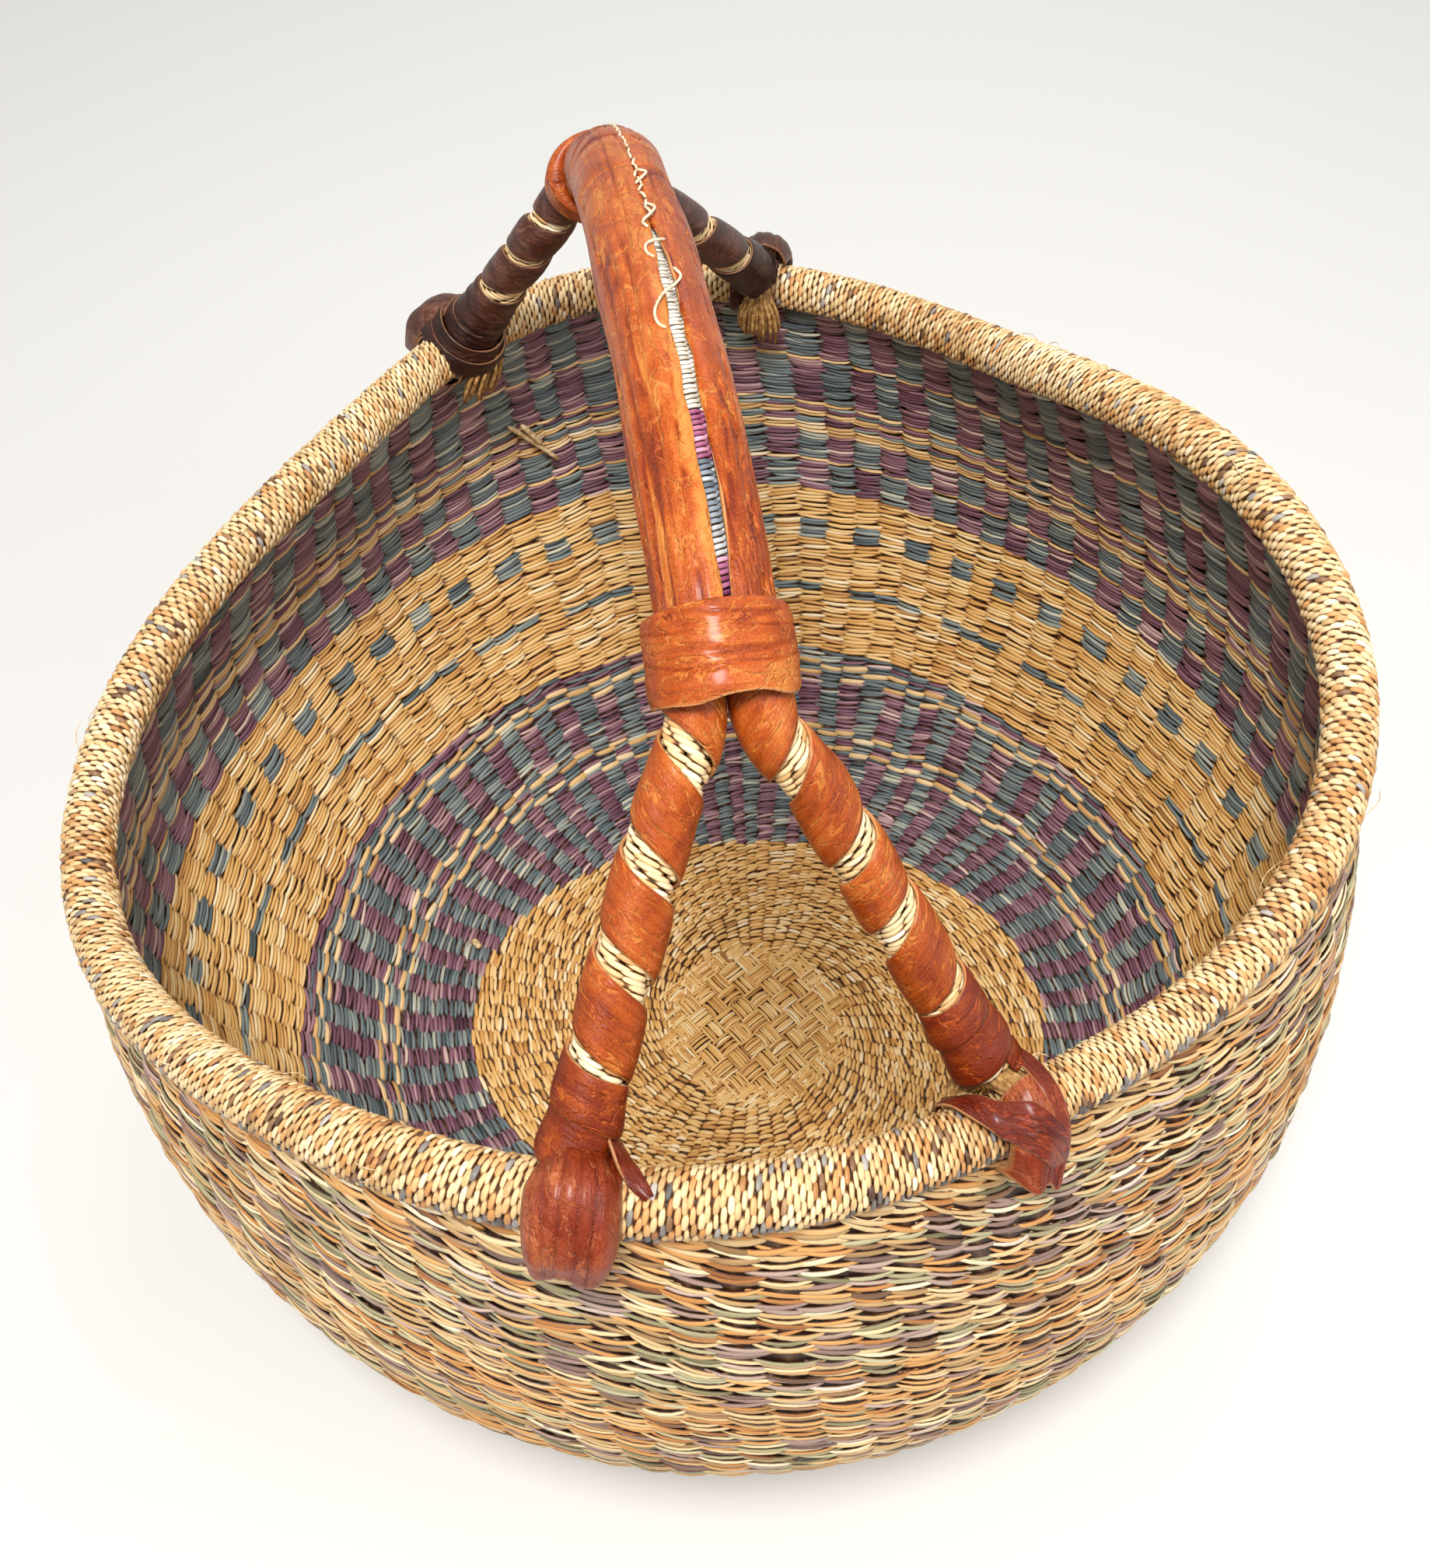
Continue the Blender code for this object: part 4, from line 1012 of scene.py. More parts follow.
class BASKET_OT_underside(bpy.types.Operator):
    """Lay the weft of the underside, flat enough for the basket to stand on."""

    bl_idname = "basket.underside"
    bl_label = "Underside"

    def execute(self, context):
        settings = weave_settings()
        rng = np.random.default_rng(settings.seed + 3)
        courses = int(CURVE.floor_edge / settings.course) - 3
        stake, course = np.meshgrid(np.arange(0, settings.stakes, 2), np.arange(courses))
        stake, course = stake.ravel() + 0.0, course.ravel()
        turn = CURVE.floor_edge - (course + 0.5) * settings.course
        count = len(stake)
        strands = Strands(count, 5, 4)
        at, across, lift = strands.lay(
            stake, 1.2, turn, settings.course * 0.35, 0.0, settings.course * 0.5,
            0.2 * MM, 1.45 * MM, 0.8 * MM, fall=2.2)
        points = bowl_points(strands, at, across, lift, 1)
        points[..., 2] = np.maximum(points[..., 2], 0.00005)
        dye = rng.choice(5, size=count, p=(0.3, 0.3, 0.12, 0.16, 0.12))
        tone = np.clip(0.45 + 0.18 * rng.normal(size=count), 0, 1)
        maps = strands.maps(stake // 2, course, settings.stakes // 2, courses, 14.0, 1.9, tone, settings.seed)
        made = grid_object("weave_underside", points, maps, grass_finishes(OUTER_FINISHES),
                           flip=True, face_finish=dye)
        dress(made, "woven_grass")
        return {"FINISHED"}


# The rim


def rim_point(angle, turn, reach):
    """Points round the rim's centre line: turn 0 is out of the basket and a quarter turn is up."""
    centre, out, down, along = rim_frame(angle)
    way = out * np.cos(turn)[..., None] - down * np.sin(turn)[..., None]
    return centre + way * np.asarray(reach)[..., None]


class BASKET_OT_rim(bpy.types.Operator):
    """Wind the twisted cord round the rim, one grain of each ply at a time."""

    bl_idname = "basket.rim"
    bl_label = "Rim lashing"

    def execute(self, context):
        settings = weave_settings()
        rng = np.random.default_rng(settings.seed + 4)
        around = math.tau * MOUTH_RADIUS * 1.01
        turns = int(around / settings.cord) * 2
        grains = 11
        span = math.radians(318)
        first = math.radians(-90 + 21)
        turn_number, grain = np.meshgrid(np.arange(turns), np.arange(grains))
        turn_number, grain = turn_number.ravel(), grain.ravel()
        count = len(turn_number)
        strands = Strands(count, 5, 4)
        shift = 0.5 * (np.arange(turns) % 2) + 0.25 * np.cumsum(rng.normal(0, 0.35, turns))
        middle = (grain + (shift % 1.0)[turn_number]) / grains
        half_long = 0.70 / grains
        at, across, lift = strands.lay(
            middle, half_long, turn_number + 0.7 * (middle - 0.5) + 0.09 * rng.normal(size=count),
            0.30 + 0.07 * rng.normal(size=count), 0.0, 0.53 + 0.05 * rng.normal(size=count),
            -0.75 * MM, 0.05 * MM + 0.14 * MM * rng.normal(size=count), 0.85 * MM, taper=0.42, fall=2.4)
        angle = (across + 0.5) / turns * math.tau
        turn = first + at * span
        points = rim_point(angle, turn, RIM_RADIUS + lift - 0.25 * MM)
        place_angle = turn_number / turns * math.tau
        drift = ripple(91, np.cos(place_angle) * 6, np.sin(place_angle) * 6)
        chance = np.stack([0.66 + 0.16 * drift, 0.24 - 0.12 * drift, 0.04 + 0 * drift], 1).clip(0.02)
        # Painted shade under the rim: towards its underside the grains turn mostly slate and darker in tone.
        below = smooth((np.abs(middle - 0.5) - 0.28) / 0.12)
        chance = np.concatenate([chance, (0.02 + 0.9 * below ** 2)[:, None]], 1)
        chance /= chance.sum(1, keepdims=True)
        pick = rng.uniform(size=count)[:, None]
        dye = np.minimum((np.cumsum(chance, 1) < pick).sum(1), 3)
        tone = np.clip(0.5 + 0.14 * drift + 0.17 * rng.normal(size=count) - 0.30 * below, 0, 1)
        maps = strands.maps(turn_number, grain, turns, grains, 6.0, 1.8, tone, settings.seed, dim=(5, 0.85, 2.4))
        made = grid_object("rim_cord", points, maps, grass_finishes(("lashing", "ginger", "brown", "slate")),
                           flip=True, face_finish=dye)
        dress(made, "twisted_grass_cord", "rim_lashing")

        # The core under the grains is dark brown: painted shade between them.
        steps, sides = 480, 20
        angles = np.linspace(0, math.tau, steps, endpoint=False)
        ring = np.linspace(0, math.tau, sides, endpoint=False)
        grid_angle, grid_turn = np.meshgrid(angles, ring, indexing="ij")
        points = rim_point(grid_angle, grid_turn, np.full(grid_angle.shape, RIM_RADIUS - 0.85 * MM))
        shape = points.shape[:2]
        fibre = np.stack([grid_angle * 200, grid_turn * 9, 0 * grid_turn], -1)
        maps = {"place": place_of(*shape), "fibre": fibre, "tone": np.full(shape, 0.45), "depth": np.full(shape, 0.3)}
        made = grid_object("rim_bundle", points, maps, grass_finishes(("brown",)), flip=True,
                           round_rows=True, round_columns=True)
        dress(made, "grass_bundle", "rim_core")
        return {"FINISHED"}


# The handle


def seam_half_width(share):
    """Half the width of the seam's opening at a share of the grip's length."""
    bow = np.sin(math.pi * np.clip(share / SEAM_START_SHARE, 0, 1)).clip(0) ** 0.7
    return (0.8 * MM + (SLIT_OPEN - 0.8 * MM) * bow) / 2


class BASKET_OT_sheath(bpy.types.Operator):
    """Draw the leather sheath over the grip, open along the front half of its seam."""

    bl_idname = "basket.sheath"
    bl_label = "Sheath"

    def execute(self, context):
        rows, columns = 300, 92
        start = COLLAR_REACH + COLLAR_WIDTH / 2 - SHEATH_TUCK
        stop = ARCH.length[-1] - start
        length = np.linspace(start, stop, rows)[:, None]
        share = (length - COLLAR_REACH) / GRIP_SPAN
        radius = np.interp(length, ARCH.length, ARCH.radii) + SHEATH_BUILD
        half = seam_half_width(share)
        right = np.maximum(half * 0.68, 0.25 * MM)
        left = np.maximum(half * 0.42, 0.25 * MM)
        ragged = smooth((half - 0.8 * MM) / (1.2 * MM))
        right = right + 0.16 * MM * ripple(5, share * 22) * ragged
        left = left + 0.30 * MM * ripple(6, share * 18) * ragged
        across = np.linspace(0, 1, columns)[None, :]
        begin = math.pi / 2 + SEAM_TURN + left / radius
        end = math.pi / 2 + SEAM_TURN + math.tau - right / radius
        angle = begin + (end - begin) * across
        arc = (angle - begin) * radius
        turned = smooth((share - 0.42) / 0.25)
        folds = ripple(11, share * 4.0, np.cos(angle) * 0.8, np.sin(angle) * 0.8)
        long_folds = ripple(12, share * 1.6, np.cos(angle) * 2.4, np.sin(angle) * 2.4, terms=14)
        rings = ripple(13, share * (13 + 0 * angle), np.cos(angle) * 0.5, np.sin(angle) * 0.5, terms=12)
        ridge = np.clip(1 - np.abs(long_folds) * 5, 0, None)
        wrinkle = np.clip(1 - np.abs(rings) * 4, 0, None)
        swell = 0.55 * MM * folds - 0.95 * MM * ridge * (1 - 0.4 * turned) - 0.65 * MM * wrinkle * turned
        from_edge = np.minimum(arc, (end - angle) * radius)
        opened = smooth((half - 0.8 * MM) / (1.5 * MM))
        curl = 0.9 * MM * opened * smooth(1 - from_edge / (3.0 * MM))
        closed_lip = -0.35 * MM * (1 - opened) * smooth(1 - from_edge / (1.6 * MM))
        lip = opened * smooth(1 - arc / (4.2 * MM))
        lift = SHEATH_BUILD + swell - 0.5 * MM * lip + closed_lip - 0.25 * curl
        points = ARCH.point(length + 0 * angle, angle, lift)
        fibre = np.stack(np.broadcast_arrays(length * 1000, angle * 13, 0.3), -1)
        pale = lip * (0.75 + 0.35 * ripple(8, share * 40, across * 60))
        # Painted shade: a dark band along one side of each crease; a pale worn line runs next to it.
        crease_shade = np.clip(1 - np.abs(long_folds - 0.10) * 7, 0, None)
        worn = np.clip(1 - np.abs(long_folds + 0.04) * 16, 0, None)
        ring_crease_shade = np.clip(1 - np.abs(rings - 0.10) * 6, 0, None) * turned
        ring_worn = np.clip(1 - np.abs(rings + 0.04) * 12, 0, None) * turned
        dark = 0.08 * ripple(9, share * 3, np.cos(angle) * 0.5, np.sin(angle) * 0.5)
        dark = dark - 0.34 * crease_shade - 0.34 * ring_crease_shade + 0.38 * worn + 0.32 * ring_worn
        tone = 0.02 + dark + 0.6 * np.clip(pale, 0, 1)
        depth = np.where(opened > 0.3, smooth(from_edge / (1.2 * MM)), 0.5 + 0.5 * smooth(from_edge / (1.0 * MM)))
        maps = {"place": place_of(rows, columns), "fibre": fibre, "tone": tone, "depth": depth}
        made = grid_object("leather_sheath", points, maps, [leather_finish("tanned")], flip=False)
        close_edges(made, 1.0 * MM)
        apply_modifiers(made)
        dress(made, "tanned_leather", "grip_sheath")
        return {"FINISHED"}


# The cord's colours along the open seam, from the front collar: (share of the grip, dye)
GRIP_CORD_SECTIONS = ((0.080, 3), (0.108, 1), (0.171, 2), (0.227, 3), (1.01, 0))
GRIP_CORD_FINISHES = ("white", "grey", "blue", "magenta")


class BASKET_OT_grip_cord(bpy.types.Operator):
    """Wind the coloured cord round the grip, where the open seam shows it."""

    bl_idname = "basket.grip_cord"
    bl_label = "Grip cord"

    def execute(self, context):
        rng = np.random.default_rng(weave_settings().seed + 5)
        pitch = 1.5 * MM
        turns = int(GRIP_SPAN / pitch)
        number, place = np.meshgrid(np.arange(turns), np.arange(3))
        number, place = number.ravel(), place.ravel()
        count = len(number)
        strands = Strands(count, 6, 4)
        middle = math.pi / 2 + SEAM_TURN + (place - 1) * 0.42
        at, across, lift = strands.lay(
            middle, 0.30, (number + 0.5) * pitch + COLLAR_REACH, -pitch * (0.45 + 0.1 * rng.normal(size=count)),
            0.0, pitch * 0.47, 0.2 * MM, 0.75 * MM + 0.1 * MM * rng.normal(size=count), 0.65 * MM)
        points = ARCH.point(across, at, lift + GAP + GRIP_BINDING - 1.2 * MM)
        share = (number + 0.5) / turns
        dye = np.zeros(count, int)
        last = -1.0
        for stop, colour in GRIP_CORD_SECTIONS:
            dye = np.where((share >= last) & (share < stop), colour, dye)
            last = stop
        tone = np.clip(0.55 + 0.2 * rng.normal(size=count), 0, 1)
        maps = strands.maps(number, place, turns, 3, 6.0, 1.4, tone, 5)
        made = grid_object("grip_cord", points, maps, cord_finishes(GRIP_CORD_FINISHES), flip=True, face_finish=dye)
        dress(made, "twisted_grass_cord", "grip_binding")

        # The core under the cord is dark brown: painted shade between its turns.
        rows, columns = 120, 24
        length = np.linspace(COLLAR_REACH, ARCH.length[-1] - COLLAR_REACH, rows)[:, None]
        angle = np.linspace(0, math.tau, columns, endpoint=False)[None, :]
        points = ARCH.point(length + 0 * angle, angle + 0 * length, 0.9 * MM)
        shape = points.shape[:2]
        fibre = np.stack(np.broadcast_arrays(length * 1000, angle * 10, 0.0), -1)
        maps = {"place": place_of(*shape), "fibre": fibre, "tone": np.full(shape, 0.3), "depth": np.full(shape, 0.15)}
        made = grid_object("grip_bundle", points, maps, grass_finishes(("brown",)), flip=False, round_columns=True)
        dress(made, "grass_bundle", "grip_core")
        return {"FINISHED"}


CORD_COLOURS = {
    "white": ((0.0, "#8F8B7E"), (0.4, "#D2CDBC"), (0.8, "#F1EDE0"), (1.0, "#FFFDF6")),
    "grey": ((0.0, "#6F7276"), (0.4, "#A9ACAE"), (0.8, "#D5D5D2"), (1.0, "#F0EFEA")),
    "blue": ((0.0, "#3E4650"), (0.4, "#6C7682"), (0.8, "#9CA4AB"), (1.0, "#C8CCCE")),
    "magenta": ((0.0, "#4E1F38"), (0.4, "#8E4468"), (0.8, "#BE7698"), (1.0, "#DFA8BE")),
}


def cord_finishes(names):
    made = []
    for name in names:
        full = "dyed_cord_" + name
        made.append(bpy.data.materials.get(full) or grass_material(full, CORD_COLOURS[name]))
    return made


def thread_material():
    """Waxed cotton thread, two-ply: a dull cream, a little dirty in the twist."""
    made, tree, shader = fresh_material("waxed_cotton_thread")
    place = add(tree, "ShaderNodeTexCoord").outputs["Object"]
    dirt = add(tree, "ShaderNodeTexNoise", links={"Vector": place}, values={"Scale": 900.0, "Detail": 3.0})
    colour = ramp(tree, dirt.outputs["Fac"], ((0.3, "#B9A27C"), (0.6, "#E4D6B8")))
    bump = add(tree, "ShaderNodeBump", values={"Strength": 0.4, "Distance": 0.0002},
               links={"Height": dirt.outputs["Fac"]})
    tree.links.new(colour, shader.inputs["Base Color"])
    tree.links.new(bump.outputs["Normal"], shader.inputs["Normal"])
    shader.inputs["Roughness"].default_value = 0.7
    return made


def thread_tube(name, runs, radius, finish, sides=6):
    """Threads as one mesh of tubes through their runs of points, with pointed ends."""
    builder = bmesh.new()
    for run in runs:
        run = np.array(run, float)
        ahead = unit(np.gradient(run, axis=0))
        side = unit(np.cross(ahead, [0.13, 0.21, 0.97]))
        up = np.cross(ahead, side)
        rings = []
        for i, point in enumerate(run):
            size = radius * (0.5 if i in (0, len(run) - 1) else 1.0)
            ring = []
            for k in range(sides):
                angle = math.tau * k / sides
                ring.append(builder.verts.new(point + (side[i] * math.cos(angle) + up[i] * math.sin(angle)) * size))
            rings.append(ring)
        for here, there in zip(rings, rings[1:]):
            for k in range(sides):
                j = (k + 1) % sides
                builder.faces.new((here[k], here[j], there[j], there[k]))
        builder.faces.new(rings[0][::-1])
        builder.faces.new(rings[-1])
    bmesh.ops.recalc_face_normals(builder, faces=builder.faces[:])
    mesh = bpy.data.meshes.new(name)
    builder.to_mesh(mesh)
    builder.free()
    mesh.materials.append(finish)
    mesh.shade_smooth()
    return link(name, mesh)


# The loose ends of the seam's thread: shares of the grip's length and millimetres aside
SEAM_CURLS = (
    ((0.600, 0.4), (0.592, 2.4), (0.578, 1.0), (0.566, -1.2)),
    ((0.522, 0.2), (0.512, 1.8), (0.496, 0.2), (0.482, -2.2), (0.474, -1.2)),
    ((0.452, 2.4), (0.446, 0.2), (0.438, -2.8), (0.424, -3.2), (0.418, -1.6)),
    ((0.402, 2.6), (0.388, 3.8), (0.370, 1.6), (0.354, -2.0), (0.334, -4.6), (0.318, -4.6), (0.311, -3.0)),
)


class BASKET_OT_stitches(bpy.types.Operator):
    """Sew the closed half of the seam, with loose thread ends."""

    bl_idname = "basket.stitches"
    bl_label = "Seam stitches"

    def execute(self, context):
        rng = np.random.default_rng(weave_settings().seed + 6)
        begin = COLLAR_REACH + GRIP_SPAN * SEAM_START_SHARE
        end = COLLAR_REACH + GRIP_SPAN * SEAM_END_SHARE
        spacing = 4.4 * MM
        count = int((end - begin) / spacing)
        runs = []
        share = np.linspace(0, 1, 9)
        for i in range(count):
            reach = rng.uniform(0.15, 0.85) * MM
            middle = begin + spacing * (i + 0.5)
            length = middle + spacing * 0.5 * (2 * share - 1) * rng.uniform(0.7, 1.1)
            offset = reach * (2 * share - 1) * (1 if i % 2 else -1) + rng.normal(0, 0.2 * MM)
            lift = 0.15 * MM + 0.45 * MM * np.sin(math.pi * share)
            runs.append(grip_lifted(length, offset, lift))
        for keys in SEAM_CURLS:
            share, offset = curve_through(keys, 40).T
            lift = (0.5 + 0.8 * np.sin(math.pi * np.linspace(0, 1, 40))) * MM
            runs.append(grip_lifted(COLLAR_REACH + GRIP_SPAN * share, offset * MM, lift))
        made = thread_tube("seam_stitches", runs, 0.42 * MM, thread_material())
        dress(made, "cotton_thread", "grip_seam_thread")
        return {"FINISHED"}


def grip_lifted(length, offset, lift):
    """Points over the sheath near its seam, each at its own lift."""
    length, offset, lift = np.broadcast_arrays(length, offset, lift)
    radius = np.interp(length, ARCH.length, ARCH.radii) + SHEATH_BUILD
    return ARCH.point(length, math.pi / 2 + SEAM_TURN - offset / radius, SHEATH_BUILD + lift)


class BASKET_OT_collars(bpy.types.Operator):
    """Fold the leather collars over the two forks of the handle."""

    bl_idname = "basket.collars"
    bl_label = "Collars"

    def execute(self, context):
        for seed, end in ((21, "front"), (22, "rear")):
            rows, columns = 54, 120
            middle = collar_middle(end)
            half_side = 2 * FORK_RADIUS + GAP
            grip = GRIP_FRONT_RADIUS if end == "front" else GRIP_REAR_RADIUS
            half_up = grip + SHEATH_BUILD + GAP * 2
            outward = -1 if end == "front" else 1
            row = np.linspace(0, 1, rows)[:, None]
            hem = smooth((row - 0.84) / 0.16)
            share = outward * (0.5 - np.clip(row / 0.84, 0, 1)) - outward * 0.05 * np.sin(math.pi * hem)
            angle = np.linspace(0, math.tau, columns, endpoint=False)[None, :]
            ragged = 0.9 * MM * ripple(seed, np.cos(angle) * 0.8, np.sin(angle) * 0.8)
            length = middle + COLLAR_WIDTH * share + ragged * smooth(share * outward * 2)
            x, y = np.cos(angle), np.sin(angle)
            wrinkle = ripple(seed + 4, share * 2.2 + 0.3 * x, x * 0.25, y * 0.25)
            pleats = ripple(seed + 8, share * 3 + 0.6 * y, x * 0.3, y * 0.3)
            pleat = np.clip(1 - np.abs(pleats) * 4, 0, None)
            lift = COLLAR_SKIN + 0.30 * MM * wrinkle - 0.55 * MM * pleat
            pinch = smooth((np.abs(share) - 0.38) / 0.12)
            lift = (lift - 0.4 * MM * pinch) * (1 - hem)
            neck = grip + SHEATH_BUILD + 0.2 * MM
            reach_side = half_side + (neck - half_side) * hem + lift
            reach_up = half_up + (neck - half_up) * hem + lift
            centre = ARCH.look_up(ARCH.points, length + 0 * angle)
            side = unit(ARCH.look_up(ARCH.side, length + 0 * angle))
            up = unit(ARCH.look_up(ARCH.up, length + 0 * angle))
            points = centre + side * (reach_side * x)[..., None] + up * (reach_up * y)[..., None]
            shape = points.shape[:2]
            fibre = np.stack(np.broadcast_arrays(angle * 18, length * 1000, 0.7), -1)
            depth = smooth((share * -outward + 0.5) * 9) + 0 * angle
            # Painted shade: the pleats' grooves are darkened; the collar is also darker towards its hem.
            tone = 0.06 + 0.08 * ripple(seed + 2, x * 0.4, y * 0.4, share) - 0.25 * pleat - 0.2 * hem
            maps = {"place": place_of(*shape), "fibre": fibre, "tone": np.broadcast_to(tone, shape), "depth": depth}
            made = grid_object("leather_collar_" + end, points, maps, [leather_finish("tanned")],
                               flip=end == "front", round_columns=True)
            close_edges(made, 1.2 * MM)
            apply_modifiers(made)
            dress(made, "tanned_leather", end + "_collar")
        return {"FINISHED"}


# The legs


class BASKET_OT_leg_cord(bpy.types.Operator):
    """Wind the pale twisted cord round each leg."""

    bl_idname = "basket.leg_cord"
    bl_label = "Leg cord"

    def execute(self, context):
        for index, name in enumerate(FEET):
            foot = Foot(name)
            path = foot.path
            rng = np.random.default_rng(weave_settings().seed + 10 + index)
            pitch = 1.75 * MM
            turns = int(path.length[-1] / pitch)
            grains = 6
            number, grain = np.meshgrid(np.arange(turns), np.arange(grains))
            number, grain = number.ravel(), grain.ravel()
            count = len(number)
            strands = Strands(count, 6, 4)
            shift = rng.uniform(0, 1, turns)[number]
            middle = (grain + shift) / grains
            at, across, lift = strands.lay(
                middle, 0.68 / grains, (number + 0.5 + 0.5 * foot.hand * (middle - 0.5)) * pitch,
                pitch * 0.62 * foot.hand, 0.0, pitch * 0.52, -0.45 * MM, 0.35 * MM, 0.75 * MM, taper=0.45, fall=2.6)
            points = path.point(across, at * math.tau, lift + LEG_BINDING + 0.15 * MM)
            dye = rng.choice(3, size=count, p=(0.72, 0.18, 0.10))
            tone = np.clip(0.6 + 0.15 * rng.normal(size=count), 0, 1)
            maps = strands.maps(number, grain, turns, grains, 8.0, 1.4, tone, 9, dim=(6, 0.8, 2.6))
            made = grid_object("leg_cord_" + name, points, maps, grass_finishes(("lashing", "bleached", "ginger")),
                               flip=True, face_finish=dye)
            dress(made, "twisted_grass_cord", "leg_binding_" + name)
        return {"FINISHED"}


# The side of the legs that faces up and forward
UPPER_SIDE = np.array([0.0, -0.5, 0.87])

# The gaps that each leg's strip leaves on the upper side: how far down the leg and how wide, in mm
WINDINGS = {
    "front_left": ((21.0, 8.0), (49.5, 8.0), (75.5, 7.5), (101.5, 4.0)),
    "front_right": ((25.5, 8.0), (58.0, 8.0), (81.5, 7.5), (111.5, 5.5)),
    "rear_left": ((14.0, 4.0), (33.5, 4.5), (52.0, 4.5), (74.5, 4.0)),
    "rear_right": ((31.0, 5.0), (69.0, 11.0), (108.0, 3.5)),
}
# Below the last gap: the pitch of the closed turns in mm, and how far the last of them spread in mm
CLOSINGS = {"front_left": (13.0, -0.6), "front_right": (13.0, -0.3), "rear_left": (5.2, 6.5), "rear_right": (14.0, 0)}


def wind_strip(foot, finish, seed):
    """A leather strip wound down a leg, its turns closing up towards the rim."""
    gaps = list(WINDINGS[foot.name])
    first, second = gaps[0], gaps[1]
    gaps = [(first[0] - 2 * (second[0] - first[0]), first[1]), (2 * first[0] - second[0], first[1])] + gaps
    closing_pitch, spread = CLOSINGS[foot.name]
    close_at = gaps[-1][0] * MM
    for _ in range(8):
        gaps.append((gaps[-1][0] + closing_pitch, -3.0))
    where, open_by = np.array(gaps).T * MM
    number = np.arange(len(gaps)) + 0.5
    whole = np.arange(1, len(gaps))
    widths = np.diff(where) - (open_by[1:] + open_by[:-1]) / 2
    path = foot.path
    fine = np.linspace(0.001, path.length[-1] + 0.001, 2000)
    turned = np.interp(fine, where, number)
    gap_at = first[0] * MM
    side, up = path.look_up(path.side, gap_at), path.look_up(path.up, gap_at)
    facing = math.atan2(UPPER_SIDE @ up, UPPER_SIDE @ side)
    rows = int((turned[-1] - turned[0]) * 60)
    columns = 17
    turns = np.linspace(turned[0], turned[-1], rows)[:, None]
    a = np.linspace(-1, 1, columns)[None, :]
    angle = facing + math.tau * turns * foot.hand
    width = np.interp(turns, whole, widths)
    travel = np.interp(turns, turned, fine)
    wobble = 0.6 * MM * ripple(seed, turns * 0.6)
    length = travel + wobble + a * width / 2 * (1 + 0.04 * ripple(seed + 1, turns * 0.8))
    crown = 0.45 * MM * (1 - a ** 2)
    wrinkle = 0.14 * MM * ripple(seed + 2, turns * 1.6, a * 0.35)
    crease = np.clip(1 - np.abs(ripple(seed + 3, turns * 3.0, a * 0.5)) * 4, 0, None)
    overlap = 1.1 * MM * smooth((travel - close_at) / 0.012) * smooth((a + 0.4) / 1.2)
    edge = -0.30 * MM * smooth((np.abs(a) - 0.8) / 0.2)
    edge = edge + spread * MM * smooth((travel - path.length[-1] + 0.018) / 0.016)
    lift = WRAP_BUILD - 0.15 * MM + crown + wrinkle - 0.16 * MM * crease + edge + overlap
    points = path.point(length, angle + 0 * a, lift)
    fibre = np.stack(np.broadcast_arrays(angle * 9.0, a * width * 500, 0.5 + seed), -1)
    depth = smooth((1 - np.abs(a)) * 4.5) + 0 * turns
    worn = smooth((travel - path.length[-1] * 0.6) / (path.length[-1] * 0.3))
    # Painted shade: the strip darkens in its creases.
    tone = -0.34 * worn + 0.05 - 0.15 * crease
    maps = {"place": place_of(rows, columns), "fibre": fibre, "tone": tone, "depth": depth}
    made = grid_object("leg_leather_" + foot.name, points, maps, [finish], flip=foot.hand < 0)
    close_edges(made, 0.9 * MM)
    apply_modifiers(made)
    return made


class BASKET_OT_leg_wraps(bpy.types.Operator):
    """Wind the leather strips down the legs."""

    bl_idname = "basket.leg_wraps"
    bl_label = "Leg leather"

    def execute(self, context):
        for index, name in enumerate(FEET):
            foot = Foot(name)
            kind = "umber" if foot.end == "rear" else "tanned"
            made = wind_strip(foot, leather_finish(kind), 61 + index * 7)
            dress(made, "tanned_leather", "leg_wrap_" + name)
        return {"FINISHED"}


# The feet


# Each cap's outline: shares of its length, its width there, how far its top leans aside in mm, and
# how far short of the leg it starts, in degrees round the rim
CAP_SHAPES = {
    "front_left": ((0, 0.15, 0.38, 0.6, 0.85, 1), (0.62, 0.76, 0.94, 0.97, 0.97, 0.92), 2.4, 11),
    "front_right": ((0, 0.3, 0.7, 1), (0.80, 1.0, 1.0, 0.84), 0.0, 38),
    "rear_left": ((0, 0.3, 0.7, 1), (0.80, 1.0, 1.0, 0.9), 0.0, 34),
    "rear_right": ((0, 0.3, 0.7, 1), (0.80, 1.0, 1.0, 0.9), 0.0, 34),
}


def outer_tail_x(share):
    return TAIL_REST + (SADDLE_REACH - TAIL_REST) * (1 - share) ** 1.3


